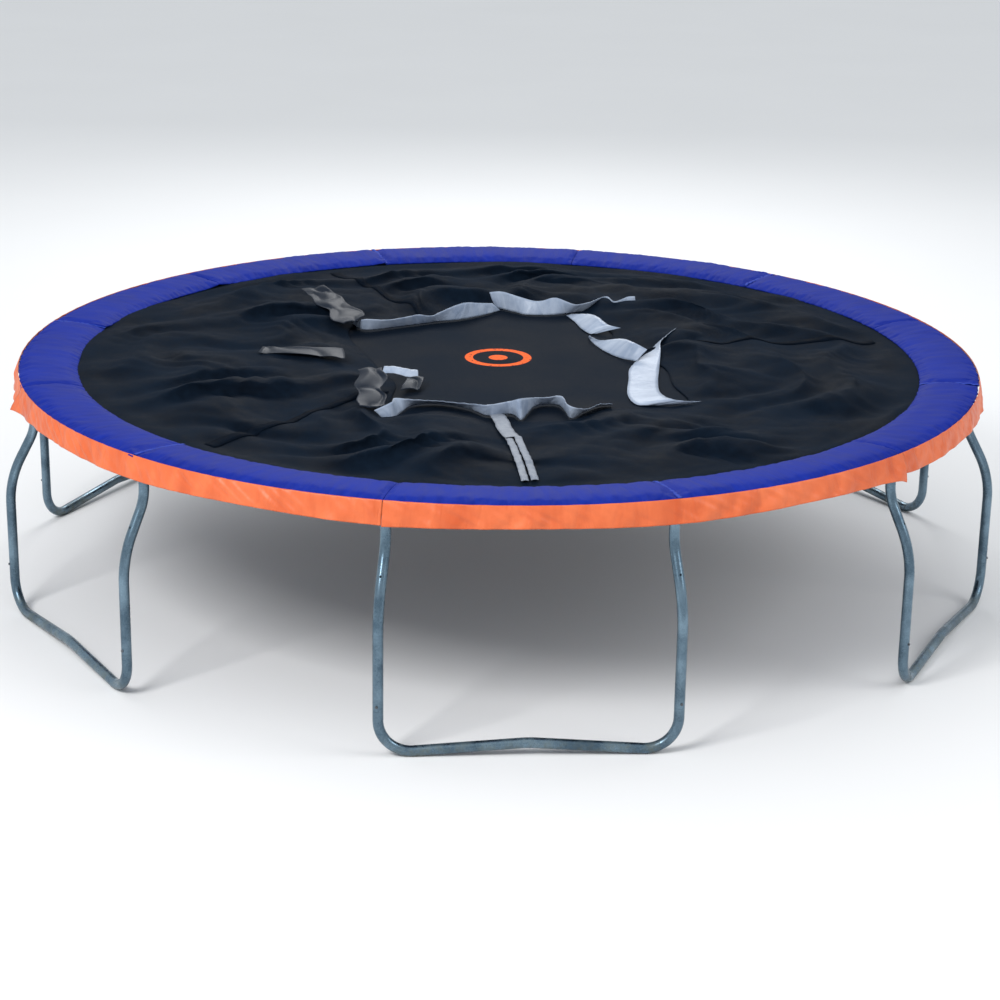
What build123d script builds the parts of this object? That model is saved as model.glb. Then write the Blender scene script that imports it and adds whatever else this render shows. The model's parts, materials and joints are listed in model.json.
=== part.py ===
from build123d import *
from math import atan, cos, degrees, radians, sin, tan
import os

# Backyard trampoline, millimetres, +Z up. The origin is on the ground under the middle of the mat.
# Azimuth 0 points along -Y, towards the front leg, and grows towards +X.

# ---------------------------------------------------------------- driving dimensions
LEGS = 6                        # W legs; each has two uprights
RAIL_R = 2115.0                 # radius of the top rail's centreline
RAIL_OD = 45.0                  # top rail tube
RAIL_Z = 975.0                  # height of the top rail's centreline
TUBE_OD = 42.0                  # leg tube
WALL = 1.5                      # wall of every steel tube
FIT = 0.2                       # radial clearance of a swaged neck or a socket
NECK_LENGTH = 60.0              # swaged neck of a base, inside its upright
NECK_CLEAR = 5.2                # from a rail's neck to the next rail's first spring hole
SHOULDER_WALLS = 3              # length of a neck's solid shoulder, in wall thicknesses
JOINT_GAP = 0.5                 # daylight at the seam of two tubes
SOCKET_WALL = 2.0
SOCKET_LENGTH = 37.5            # how far a leg socket reaches below the rail

KICK_OUT = 119.0                # how far outside the rail the uprights stand, below their kink
SEAM_Z = 192.0                  # height of the seam between an upright and its base
KINK_START = 130.5              # from an upright's top down to where it turns outwards
KINK_DROP = 220.0               # from there down to where it turns back to vertical
KINK_TOP_BEND = 200.0           # bend radii of the two corners
KINK_LOW_BEND = 430.0
BASE_BEND = 128.0               # bend radius of the base's two lower corners
BASE_MID_BEND = 420.0           # bend radius of the base's soft middle bend
BASE_RISE = 30.0                # how far the middle of a base stands above its two feet
POLE_HOLE_R = 4.5               # cross hole for an enclosure pole's bolt
SCREW_R = 2.1                   # self-tapping screw at a seam
SCREW_RISE = 20.0               # its height above the seam
SCREW_LENGTH = 9.0
WASHER_R = 6.0                  # washer under the screw's head
WASHER_H = 1.0
SCREW_HEAD_R = 5.0
SCREW_HEAD_H = 4.0

SPRINGS = 96
SPRING_OD = 21.0
SPRING_WIRE = 3.5
SPRING_WALL = 4.1               # wall of the wound barrel, which stands for its wire turns
SPRING_BEND = 2.8               # bend radius of a hook's wire
SPRING_LENGTH = 145.0           # length of the wound barrel, in tension
SPRING_HOLE_R = 4.0
SPRING_HOLE_RISE = 20.0         # degrees that a spring hole stands above the rail's middle
HOOK_REACH = 9.0                # how far a spring's outer hook stands inside the rail
SPRING_ENDS = 97.5              # from the rail to the mat beside the barrel: two hooks and a mat ring

MAT_DROP = 9.0                  # how far the mat's top lies below the rail's middle
MAT_THICKNESS = 2.0
CENTRE_R = 600.0                # radius of the mat's middle, which moves most
CENTRE_GAP = 3.0                # ring of air between the mat's middle and its field
HEM_WIDTH = 55.0
HEM_THICKNESS = 3.8
RING_WIRE = 4.0                 # wire of a triangular mat ring
RING_BASE = 44.0                # its side along the mat
RING_DEPTH = 34.0               # from that side to its point
RING_BEND = 6.0
TAB_WIDTH = 24.0
TAB_THICKNESS = 1.4
TAB_TAIL = 50.0                 # sewn length of a ring tab
CLEAR = 0.3                     # air between neighbours that lie on or in each other

PAD_OVERHANG = 22.5             # how far the pad reaches outside the rail
PAD_INSET = 45.0                # from the mat's edge to the pad's inner edge
PAD_LIFT = 2.5                  # from the rail's top to the pad, with the ties between
PAD_THICKNESS = 36.0
PAD_GAP = 2.0                   # between neighbouring panels
SKIRT_RISE = 15.0               # from the pad's underside up to the skirt's top
SKIRT_DROP = 91.0               # height of a skirt
SKIRT_FLARE = 15.0              # how far the skirt's hem stands outside its top
SKIRT_THICKNESS = 2.0
TIE_WIDTH = 25.0
TIE_THICKNESS = 1.2

NET_INSET = 15.0                # from the mat's edge to the heaped net's outer edge
NET_SLOPE = 130.0               # run of its inner and outer slopes
NET_HEIGHT = 112.0              # top of the heap above the mat
NET_SKIN = 2.0
BARE_X = 720.0                  # half axes of the bare middle of the mat
BARE_Y = 900.0
BARE_AT = (-30.0, 100.0)        # its centre
BAND_WIDTH = 55.0
BAND_THICKNESS = 2.0
STRAP_WIDTH = 60.0
TAIL_WIDTH = 26.0               # one of the two webbing tails at the strap's end
STRAP_THICKNESS = 2.0

# ---------------------------------------------------------------- derived values
UPRIGHTS = 2 * LEGS
UPRIGHT_STEP = 360.0 / UPRIGHTS
UPRIGHT_START = UPRIGHT_STEP / 2
SECTION_STEP = 360.0 / LEGS
TUBE_R = TUBE_OD / 2
RAIL_TUBE_R = RAIL_OD / 2
RAIL_LOW_Z = RAIL_Z - RAIL_TUBE_R
SOCKET_Z = RAIL_LOW_Z - SOCKET_LENGTH
UPRIGHT_TOP_Z = RAIL_LOW_Z - JOINT_GAP - WALL
KINK_TOP_Z = UPRIGHT_TOP_Z - KINK_START
KINK_LOW_Z = KINK_TOP_Z - KINK_DROP
FOOT_R = RAIL_R + KICK_OUT
NECK_R = TUBE_R - WALL - FIT
RAIL_NECK_R = RAIL_TUBE_R - WALL - FIT
SHOULDER = SHOULDER_WALLS * WALL
KINK_TILT = degrees(atan(KICK_OUT / KINK_DROP))
SPRING_STEP = 360.0 / SPRINGS
RAIL_NECK_LENGTH = RAIL_R * radians(SPRING_STEP / 2) - SPRING_HOLE_R - NECK_CLEAR
MAT_R = RAIL_R - RAIL_TUBE_R - SPRING_LENGTH - SPRING_ENDS
MAT_TOP_Z = RAIL_Z - MAT_DROP
MAT_LOW_Z = MAT_TOP_Z - MAT_THICKNESS
HEM_LOW_Z = MAT_LOW_Z - HEM_THICKNESS
TAB_BORE = RING_WIRE / 2 + CLEAR
TAB_R = TAB_BORE + TAB_THICKNESS
RING_Z = HEM_LOW_Z - TAB_THICKNESS + TAB_R
RING_BASE_R = MAT_R + TAB_R + CLEAR
RING_POINT_R = RING_BASE_R + RING_DEPTH
PAD_OUTER_R = RAIL_R + RAIL_TUBE_R + PAD_OVERHANG
PAD_INNER_R = MAT_R + PAD_INSET
PAD_LOW_Z = RAIL_Z + RAIL_TUBE_R + PAD_LIFT
SKIRT_TOP_Z = PAD_LOW_Z + SKIRT_RISE
SKIRT_LOW_Z = SKIRT_TOP_Z - SKIRT_DROP
NET_OUTER_R = MAT_R - NET_INSET
NET_LOW_Z = MAT_TOP_Z + CLEAR
NET_TOP_Z = MAT_TOP_Z + NET_HEIGHT


def around(azimuth):
    """Turn a piece drawn at azimuth 0, with its radius along +X, to an azimuth."""
    return Rot(0, 0, azimuth - 90)


def export_node(name, shape):
    """Write one node's STEP file."""
    shape.label = name
    export_step(shape, f"parts/{name}.step")


def group(shapes):
    """Several separate solids as one node."""
    return Compound(children=list(shapes))


def bent_bar(path, outer_r, inner_r=0.0):
    """A round bar or tube that follows a path of runs and arcs."""
    start = Plane(path @ 0, z_dir=path % 0)
    section = Circle(outer_r)
    if inner_r:
        section -= Circle(inner_r)
    return sweep(start * section, path)


def annulus(outer_r, inner_r, low_z, high_z):
    """A flat ring about the origin."""
    return Pos(0, 0, low_z) * extrude(Circle(outer_r) - Circle(inner_r), amount=high_z - low_z)


def torus_arc(major_r, minor_r, angle):
    """A round bar bent about +Z, from azimuth 0 on, centred on the origin."""
    section = Plane.XZ * Pos(major_r, 0) * Circle(minor_r)
    return revolve(section, Axis.Z, revolution_arc=angle)


# ---------------------------------------------------------------- steel frame
def spring_hole_place():
    """Centre of a spring hole in the rail's inner wall, as (radius, height)."""
    rise = radians(SPRING_HOLE_RISE)
    return RAIL_R - RAIL_TUBE_R * cos(rise), RAIL_Z + RAIL_TUBE_R * sin(rise)


def make_top_rail():
    """One rail at azimuth 0: a bent tube with a neck, a leg socket and its spring holes."""
    gap_angle = degrees(JOINT_GAP / RAIL_R)
    neck_angle = degrees(RAIL_NECK_LENGTH / RAIL_R)
    shoulder_angle = degrees(SHOULDER / RAIL_R)
    span = UPRIGHT_STEP - gap_angle
    half = UPRIGHT_STEP / 2
    body = torus_arc(RAIL_R, RAIL_TUBE_R, span)
    shoulder_start = Rot(0, 0, span - shoulder_angle)
    body += shoulder_start * torus_arc(RAIL_R, RAIL_NECK_R, shoulder_angle + neck_angle)
    body = Pos(0, 0, RAIL_Z) * Rot(0, 0, -half) * body
    socket_r = TUBE_R + FIT + SOCKET_WALL
    body += Pos(RAIL_R, 0, SOCKET_Z) * extrude(Circle(socket_r), amount=RAIL_Z - SOCKET_Z)
    bore = torus_arc(RAIL_R, RAIL_TUBE_R - WALL, span - shoulder_angle)
    neck_bore = torus_arc(RAIL_R, RAIL_NECK_R - WALL, span + neck_angle)
    body -= Pos(0, 0, RAIL_Z) * Rot(0, 0, -half) * bore
    body -= Pos(0, 0, RAIL_Z) * Rot(0, 0, -half) * neck_bore
    socket_depth = UPRIGHT_TOP_Z + JOINT_GAP - SOCKET_Z
    body -= Pos(RAIL_R, 0, SOCKET_Z) * extrude(Circle(TUBE_R + FIT), amount=socket_depth)
    hole_r, hole_z = spring_hole_place()
    drill = Pos(hole_r, 0, hole_z) * Rot(0, 180 + SPRING_HOLE_RISE - 90, 0)
    drill = drill * Cylinder(SPRING_HOLE_R, 2 * HOOK_REACH)
    count = round(UPRIGHT_STEP / SPRING_STEP)
    for index in range(count):
        body -= Rot(0, 0, (index + 0.5) * SPRING_STEP - half) * drill
    return body


def kink_point():
    """Middle of the upright's slanted run, as (radius, height)."""
    return (RAIL_R + FOOT_R) / 2, (KINK_TOP_Z + KINK_LOW_Z) / 2


def make_upright():
    """One upright at azimuth 0: down from the socket, out at the kink and down to the seam."""
    corners = [
        (RAIL_R, 0, UPRIGHT_TOP_Z),
        (RAIL_R, 0, KINK_TOP_Z),
        (FOOT_R, 0, KINK_LOW_Z),
        (FOOT_R, 0, SEAM_Z),
    ]
    path = FilletPolyline(*corners, radius=[KINK_TOP_BEND, KINK_LOW_BEND])
    tube = bent_bar(path, TUBE_R, TUBE_R - WALL)
    hole_r, hole_z = kink_point()
    tube -= Pos(hole_r, 0, hole_z) * Rot(0, 90 - KINK_TILT, 0) * Cylinder(POLE_HOLE_R, 2 * TUBE_OD)
    tube -= screw_hole()
    return tube


def screw_hole():
    """Drilling for the seam screw, through the outer walls of upright and neck."""
    outer_r = FOOT_R + TUBE_R + WALL
    inner_r = FOOT_R + NECK_R - SHOULDER
    drill = Cylinder(SCREW_R + CLEAR / 2, outer_r - inner_r)
    return Pos((outer_r + inner_r) / 2, 0, SEAM_Z + SCREW_RISE) * Rot(0, 90, 0) * drill


def make_screw():
    """One hexagon washer head screw at azimuth 0."""
    face_r = FOOT_R + TUBE_R + CLEAR
    z = SEAM_Z + SCREW_RISE
    outwards = Pos(face_r, 0, z) * Rot(0, 90, 0)
    inwards = Pos(face_r, 0, z) * Rot(0, -90, 0)
    washer = outwards * extrude(Circle(WASHER_R), amount=WASHER_H)
    head = outwards * extrude(RegularPolygon(SCREW_HEAD_R, 6), amount=SCREW_HEAD_H)
    shank = inwards * extrude(Circle(SCREW_R), amount=SCREW_LENGTH)
    return washer + head + shank


def make_base():
    """One W base in the plane of its leg, with the span along Y and the radius along X."""
    half_span = FOOT_R * sin(radians(UPRIGHT_START))
    plane_x = FOOT_R * cos(radians(UPRIGHT_START))
    slope = atan(BASE_RISE / (half_span - BASE_BEND))
    touch_y = half_span - BASE_BEND - BASE_BEND * sin(slope)
    touch_z = TUBE_R + BASE_BEND * (1 - cos(slope))
    corner_z = touch_z - tan(slope) * (half_span - touch_y)
    middle_z = touch_z + tan(slope) * touch_y
    top_z = SEAM_Z - JOINT_GAP
    corners = [
        (plane_x, -half_span, top_z),
        (plane_x, -half_span, corner_z),
        (plane_x, 0, middle_z),
        (plane_x, half_span, corner_z),
        (plane_x, half_span, top_z),
    ]
    path = FilletPolyline(*corners, radius=[BASE_BEND, BASE_MID_BEND, BASE_BEND])
    base = bent_bar(path, TUBE_R, TUBE_R - WALL)
    for side in (-1, 1):
        ring = Circle(TUBE_R) - Circle(NECK_R - WALL)
        base += Pos(plane_x, side * half_span, top_z - SHOULDER) * extrude(ring, amount=SHOULDER)
        neck = Circle(NECK_R) - Circle(NECK_R - WALL)
        base += Pos(plane_x, side * half_span, top_z) * extrude(neck, amount=NECK_LENGTH)
        base -= Rot(0, 0, side * UPRIGHT_START) * screw_hole()
    return base


# ---------------------------------------------------------------- springs, rings and mat
def make_spring():
    """One spring at azimuth 0, hooked in the rail outside and over its mat ring inside."""
    hole_r, hole_z = spring_hole_place()
    wire_r = SPRING_WIRE / 2
    coil_r = SPRING_OD / 2 - SPRING_WALL / 2
    hook_r = ring_tip_r() - RING_WIRE / 2 - wire_r - CLEAR
    hook_low = RING_Z - RING_WIRE / 2 - wire_r - CLEAR
    outer = Vector(hole_r, 0, hole_z)
    inner = Vector(hook_r, 0, RING_Z + RING_WIRE / 2 + SPRING_WIRE)
    axis = (outer - inner).normalized()
    side = Vector(-axis.Z, 0, axis.X)
    middle = (outer + inner) * 0.5
    near = middle - axis * (SPRING_LENGTH / 2)
    far = middle + axis * (SPRING_LENGTH / 2)
    wound = Circle(SPRING_OD / 2) - Circle(SPRING_OD / 2 - SPRING_WALL)
    barrel = extrude(Plane(near, z_dir=axis) * wound, amount=SPRING_LENGTH, dir=axis)
    tip = outer + axis * HOOK_REACH
    outer_hook = FilletPolyline(
        far - axis * SPRING_WIRE + side * coil_r,
        far + axis * SPRING_WIRE + side * coil_r,
        far + axis * (coil_r + SPRING_WIRE),
        tip,
        tip - Vector(0, 0, 2 * SPRING_WIRE),
        radius=SPRING_BEND,
    )
    inner_hook = FilletPolyline(
        near + axis * SPRING_WIRE + side * coil_r,
        near - axis * SPRING_WIRE + side * coil_r,
        near - axis * (coil_r + SPRING_WIRE),
        inner,
        Vector(hook_r, 0, hook_low),
        Vector(hook_r + 2 * SPRING_WIRE, 0, hook_low),
        radius=SPRING_BEND,
    )
    return barrel + bent_bar(outer_hook, wire_r) + bent_bar(inner_hook, wire_r)


def ring_tip_r():
    """Radius of the wire's centreline at a ring's rounded point."""
    half_angle = atan(RING_BASE / 2 / RING_DEPTH)
    return RING_POINT_R - RING_BEND / sin(half_angle) + RING_BEND


def make_ring():
    """One triangular wire ring at azimuth 0, its long side held by a tab of the hem."""
    half = RING_BASE / 2
    corners = [(RING_BASE_R, half, RING_Z), (RING_POINT_R, 0, RING_Z), (RING_BASE_R, -half, RING_Z)]
    path = FilletPolyline(*corners, radius=RING_BEND, close=True)
    return bent_bar(path, RING_WIRE / 2)


def make_tab():
    """One webbing tab at azimuth 0: a loop round the ring's long side and a tail under the hem."""
    loop = Pos(RING_BASE_R, RING_Z) * Circle(TAB_R)
    tail_low = RING_Z - TAB_R
    tail_middle = (RING_BASE_R - TAB_TAIL / 2, tail_low + TAB_THICKNESS / 2)
    outline = loop + Pos(*tail_middle) * Rectangle(TAB_TAIL, TAB_THICKNESS)
    outline -= Pos(RING_BASE_R, RING_Z) * Circle(TAB_BORE)
    return Pos(0, TAB_WIDTH / 2, 0) * extrude(Plane.XZ * outline, amount=TAB_WIDTH)


# ---------------------------------------------------------------- pad and skirt
def make_pad_panel():
    """One padded panel at azimuth 0, a soft slab over the springs and the rail."""
    gap_angle = degrees(PAD_GAP / PAD_INNER_R)
    middle_r = (PAD_OUTER_R + PAD_INNER_R) / 2
    middle_z = PAD_LOW_Z + PAD_THICKNESS / 2
    slab = Rectangle(PAD_OUTER_R - PAD_INNER_R, PAD_THICKNESS)
    slab = fillet(slab.vertices(), radius=PAD_THICKNESS / 3)
    section = Plane.XZ * Pos(middle_r, middle_z) * slab
    span = UPRIGHT_STEP - gap_angle
    return Rot(0, 0, -span / 2) * revolve(section, Axis.Z, revolution_arc=span)


def make_skirt():
    """One hanging skirt at azimuth 0, a thin flared strip round the pad's outer edge."""
    top_r = PAD_OUTER_R + CLEAR
    gap_angle = degrees(PAD_GAP / top_r)
    low_r = top_r + SKIRT_FLARE
    outline = Polygon(
        (top_r, SKIRT_TOP_Z),
        (low_r, SKIRT_LOW_Z),
        (low_r + SKIRT_THICKNESS, SKIRT_LOW_Z),
        (top_r + SKIRT_THICKNESS, SKIRT_TOP_Z),
        align=None,
    )
    span = SECTION_STEP - gap_angle
    return Rot(0, 0, -span / 2) * revolve(Plane.XZ * outline, Axis.Z, revolution_arc=span)


def make_tie():
    """One elastic tie at azimuth 0, a flat loop round the rail."""
    bore = RAIL_TUBE_R + CLEAR
    loop = Circle(bore + TIE_THICKNESS) - Circle(bore)
    return Pos(RAIL_R, TIE_WIDTH / 2, RAIL_Z) * extrude(Plane.XZ * loop, amount=TIE_WIDTH)


# ---------------------------------------------------------------- enclosure net on the mat
def net_block(inset, top_z, low_z=NET_LOW_Z):
    """The heap's filled ring, drawn in by an inset on every side."""
    outer_r = NET_OUTER_R - inset
    slope = NET_SLOPE
    heap = loft([Pos(0, 0, low_z) * Circle(outer_r), Pos(0, 0, top_z) * Circle(outer_r - slope)])
    x, y = BARE_AT
    low = Pos(x, y, low_z) * Ellipse(BARE_X + inset, BARE_Y + inset)
    high = Pos(x, y, top_z) * Ellipse(BARE_X + inset + slope, BARE_Y + inset + slope)
    return heap - loft([low, high])


def make_net():
    """The net as a thin hollow ring-shaped heap, open underneath."""
    return net_block(0, NET_TOP_Z) - net_block(NET_SKIN, NET_TOP_Z - NET_SKIN)


def make_band():
    """The net's top band, lying as a flat loop inside the heap."""
    x, y = BARE_AT
    outer = Ellipse(BARE_X - CLEAR, BARE_Y - CLEAR)
    inner = Ellipse(BARE_X - BAND_WIDTH, BARE_Y - BAND_WIDTH)
    return Pos(x, y, NET_LOW_Z) * extrude(outer - inner, amount=BAND_THICKNESS)


def make_strap():
    """The door strap over the front of the heap, with its two tails towards the pad."""
    lift = NET_TOP_Z + CLEAR
    inner_r = BARE_Y - BARE_AT[1] + NET_SLOPE
    outer_r = NET_OUTER_R - NET_SLOPE
    split_r = (inner_r + 2 * outer_r) / 3
    wide = Rectangle(split_r - inner_r, STRAP_WIDTH)
    strap = Pos((inner_r + split_r) / 2, 0, lift) * extrude(wide, amount=STRAP_THICKNESS)
    for side in (-1, 1):
        across = side * (STRAP_WIDTH - TAIL_WIDTH) / 2
        tail = Rectangle(outer_r - split_r, TAIL_WIDTH)
        strap += Pos((split_r + outer_r) / 2, across, lift) * extrude(tail, amount=STRAP_THICKNESS)
    return strap


def main():
    """Build every node and write it to parts/."""
    os.makedirs("parts", exist_ok=True)
    upright_places = [UPRIGHT_START + index * UPRIGHT_STEP for index in range(UPRIGHTS)]
    spring_places = [(index + 0.5) * SPRING_STEP for index in range(SPRINGS)]

    rail, upright = make_top_rail(), make_upright()
    for index, azimuth in enumerate(upright_places, start=1):
        export_node(f"top_rail_{index:02d}", around(azimuth) * rail)
        export_node(f"leg_upright_{index:02d}", around(azimuth) * upright)
    base = make_base()
    for index in range(LEGS):
        export_node(f"leg_base_{index + 1}", around(index * SECTION_STEP) * base)
    screw = make_screw()
    export_node("leg_screws", group(around(azimuth) * screw for azimuth in upright_places))

    spring, ring, tab = make_spring(), make_ring(), make_tab()
    export_node("springs", group(around(azimuth) * spring for azimuth in spring_places))
    export_node("mat_rings", group(around(azimuth) * ring for azimuth in spring_places))
    hem = annulus(MAT_R, MAT_R - HEM_WIDTH, HEM_LOW_Z, MAT_LOW_Z)
    export_node("mat_hem", group([hem] + [around(azimuth) * tab for azimuth in spring_places]))
    export_node("mat_field", annulus(MAT_R, CENTRE_R + CENTRE_GAP, MAT_LOW_Z, MAT_TOP_Z))
    export_node("mat_centre", Pos(0, 0, MAT_LOW_Z) * extrude(Circle(CENTRE_R), amount=MAT_THICKNESS))

    panel, skirt, tie = make_pad_panel(), make_skirt(), make_tie()
    for index in range(UPRIGHTS):
        export_node(f"pad_panel_{index + 1:02d}", around(index * UPRIGHT_STEP) * panel)
    for index in range(LEGS):
        export_node(f"skirt_panel_{index + 1}", around(UPRIGHT_START + index * SECTION_STEP) * skirt)
    tie_places = [azimuth - SPRING_STEP for azimuth in upright_places]
    export_node("pad_ties", group(around(azimuth) * tie for azimuth in tie_places))

    export_node("enclosure_net", make_net())
    export_node("net_top_band", make_band())
    export_node("net_door_strap", around(0) * make_strap())


main()
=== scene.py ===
"""Looks of a round backyard trampoline: steel frame, sprung mat, safety pad, skirt and a dropped net.

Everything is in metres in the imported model's own frame. Azimuth 0 points along -Y and grows towards +X.
"""

import json
import logging
import math
from dataclasses import dataclass, field
from enum import Enum

import bmesh
import bpy
import mathutils
import numpy as np
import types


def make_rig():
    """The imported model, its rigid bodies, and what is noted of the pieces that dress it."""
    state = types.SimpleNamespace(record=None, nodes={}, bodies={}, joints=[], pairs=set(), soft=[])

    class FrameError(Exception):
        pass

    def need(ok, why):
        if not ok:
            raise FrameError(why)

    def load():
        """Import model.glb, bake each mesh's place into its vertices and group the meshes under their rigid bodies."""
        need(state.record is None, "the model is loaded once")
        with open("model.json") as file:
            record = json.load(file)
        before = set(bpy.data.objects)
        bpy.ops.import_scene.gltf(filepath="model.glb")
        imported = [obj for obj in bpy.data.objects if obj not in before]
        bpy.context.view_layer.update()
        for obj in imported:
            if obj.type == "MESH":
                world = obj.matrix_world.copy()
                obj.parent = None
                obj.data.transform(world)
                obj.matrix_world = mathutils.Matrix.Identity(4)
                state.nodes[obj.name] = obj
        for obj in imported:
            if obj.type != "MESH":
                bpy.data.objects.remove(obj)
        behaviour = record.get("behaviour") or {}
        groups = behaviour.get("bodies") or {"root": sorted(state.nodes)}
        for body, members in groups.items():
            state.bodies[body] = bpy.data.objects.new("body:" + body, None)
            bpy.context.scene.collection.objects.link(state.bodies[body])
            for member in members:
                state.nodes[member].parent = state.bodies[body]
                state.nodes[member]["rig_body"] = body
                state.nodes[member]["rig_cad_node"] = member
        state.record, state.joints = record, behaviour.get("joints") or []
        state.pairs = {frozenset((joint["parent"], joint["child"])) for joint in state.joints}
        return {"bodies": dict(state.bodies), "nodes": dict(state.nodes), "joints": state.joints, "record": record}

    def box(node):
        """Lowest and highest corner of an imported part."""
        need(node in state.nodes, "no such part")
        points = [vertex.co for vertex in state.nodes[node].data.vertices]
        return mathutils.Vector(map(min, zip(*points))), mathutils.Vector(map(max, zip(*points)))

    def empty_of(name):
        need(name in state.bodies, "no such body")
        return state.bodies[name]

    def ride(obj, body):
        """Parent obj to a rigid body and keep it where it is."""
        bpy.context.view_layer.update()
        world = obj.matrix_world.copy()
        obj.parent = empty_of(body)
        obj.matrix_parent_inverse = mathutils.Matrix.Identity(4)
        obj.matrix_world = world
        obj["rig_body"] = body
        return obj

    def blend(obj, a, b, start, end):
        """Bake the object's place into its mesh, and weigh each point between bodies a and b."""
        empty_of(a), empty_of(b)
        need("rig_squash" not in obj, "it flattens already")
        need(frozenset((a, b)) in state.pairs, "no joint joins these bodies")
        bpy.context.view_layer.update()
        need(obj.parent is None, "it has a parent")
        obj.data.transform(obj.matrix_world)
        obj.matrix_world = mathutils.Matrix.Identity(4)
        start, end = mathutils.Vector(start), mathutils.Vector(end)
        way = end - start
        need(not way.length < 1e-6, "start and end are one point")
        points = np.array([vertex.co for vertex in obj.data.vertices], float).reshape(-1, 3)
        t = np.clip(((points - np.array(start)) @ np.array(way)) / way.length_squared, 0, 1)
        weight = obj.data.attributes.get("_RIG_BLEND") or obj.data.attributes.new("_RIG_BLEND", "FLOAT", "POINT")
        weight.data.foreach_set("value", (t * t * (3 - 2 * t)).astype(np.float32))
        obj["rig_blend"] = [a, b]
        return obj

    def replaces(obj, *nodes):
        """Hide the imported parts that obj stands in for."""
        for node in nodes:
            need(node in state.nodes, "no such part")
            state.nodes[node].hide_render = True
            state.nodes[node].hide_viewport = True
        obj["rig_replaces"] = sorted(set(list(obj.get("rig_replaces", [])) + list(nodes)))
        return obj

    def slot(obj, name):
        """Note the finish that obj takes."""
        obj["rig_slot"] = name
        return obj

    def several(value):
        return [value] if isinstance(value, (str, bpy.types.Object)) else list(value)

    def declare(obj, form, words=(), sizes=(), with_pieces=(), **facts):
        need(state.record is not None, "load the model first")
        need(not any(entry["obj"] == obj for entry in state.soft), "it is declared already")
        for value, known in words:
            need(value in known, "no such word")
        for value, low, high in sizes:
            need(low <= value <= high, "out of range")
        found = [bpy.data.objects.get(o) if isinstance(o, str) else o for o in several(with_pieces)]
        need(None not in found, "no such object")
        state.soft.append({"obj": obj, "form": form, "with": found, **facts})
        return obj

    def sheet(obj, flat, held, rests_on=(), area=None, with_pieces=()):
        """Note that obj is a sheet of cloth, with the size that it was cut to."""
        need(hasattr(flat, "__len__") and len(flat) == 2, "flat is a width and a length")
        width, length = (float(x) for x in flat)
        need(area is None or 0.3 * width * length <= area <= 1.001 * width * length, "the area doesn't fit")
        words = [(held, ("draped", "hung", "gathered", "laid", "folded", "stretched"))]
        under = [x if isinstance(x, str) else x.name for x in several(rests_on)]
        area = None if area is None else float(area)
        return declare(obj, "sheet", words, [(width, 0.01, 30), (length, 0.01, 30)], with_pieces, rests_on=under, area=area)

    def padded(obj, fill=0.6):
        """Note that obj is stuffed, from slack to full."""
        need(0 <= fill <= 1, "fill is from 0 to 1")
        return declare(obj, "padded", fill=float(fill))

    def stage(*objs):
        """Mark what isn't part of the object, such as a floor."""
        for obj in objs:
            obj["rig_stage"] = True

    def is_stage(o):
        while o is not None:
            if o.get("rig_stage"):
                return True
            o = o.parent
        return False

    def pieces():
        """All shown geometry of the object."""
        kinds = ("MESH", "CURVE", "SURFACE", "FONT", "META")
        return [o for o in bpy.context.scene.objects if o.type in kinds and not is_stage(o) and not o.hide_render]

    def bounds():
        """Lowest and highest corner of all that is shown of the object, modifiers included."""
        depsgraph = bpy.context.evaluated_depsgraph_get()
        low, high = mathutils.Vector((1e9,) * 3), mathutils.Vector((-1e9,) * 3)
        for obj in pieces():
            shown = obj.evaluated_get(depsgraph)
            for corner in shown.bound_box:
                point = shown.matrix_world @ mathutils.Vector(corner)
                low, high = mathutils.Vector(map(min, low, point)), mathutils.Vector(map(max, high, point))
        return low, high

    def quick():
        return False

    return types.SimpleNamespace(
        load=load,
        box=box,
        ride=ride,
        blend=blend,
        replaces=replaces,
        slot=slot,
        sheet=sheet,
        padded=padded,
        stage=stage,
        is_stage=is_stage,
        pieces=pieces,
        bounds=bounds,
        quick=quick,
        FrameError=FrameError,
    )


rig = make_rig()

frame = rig.load()
CAD_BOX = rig.bounds()
LOG = logging.getLogger("trampoline")

SECTORS = 12
SECTOR = 2 * math.pi / SECTORS
SECTION = 2 * SECTOR
FIRST_SEAM = -SECTOR / 2


# ------------------------------------------------------------------ numpy shapes
def polar(radius: np.ndarray, azimuth: np.ndarray, height: np.ndarray) -> np.ndarray:
    """Points at a radius and azimuth: x is radius times sine, y is minus radius times cosine.

    Args:
        radius: distance from the middle axis.
        azimuth: angle from -Y towards +X, in radians.
        height: z of each point.

    Returns:
        An array with one more axis of length 3.
    """
    radius, azimuth, height = np.broadcast_arrays(radius, azimuth, height)
    return np.stack([radius * np.sin(azimuth), -radius * np.cos(azimuth), height], axis=-1)


@dataclass(frozen=True)
class Ripples:
    """Smooth unevenness: a sum of sine waves with seeded directions, lengths and phases."""

    seed: int
    short: float
    long: float
    lean: float = 1.0
    waves: int = 9

    def at(self, u: np.ndarray, v: np.ndarray) -> np.ndarray:
        """Height of the ripples.

        Args:
            u: place along the waves' main direction, in metres.
            v: place across it, in metres.

        Returns:
            Values from about -1 to 1, as the mean of the waves scaled by the root of their count.
        """
        chance = np.random.default_rng(self.seed)
        length = np.exp(chance.uniform(math.log(self.short), math.log(self.long), self.waves))
        turn = chance.uniform(-1, 1, self.waves) * self.lean * math.pi / 2
        phase = chance.uniform(0, 2 * math.pi, self.waves)
        total = np.zeros(np.broadcast(u, v).shape)
        for wave in range(self.waves):
            along = u * math.cos(turn[wave]) + v * math.sin(turn[wave])
            total = total + np.sin(2 * math.pi * along / length[wave] + phase[wave])
        return total / math.sqrt(self.waves) / 1.4


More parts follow.
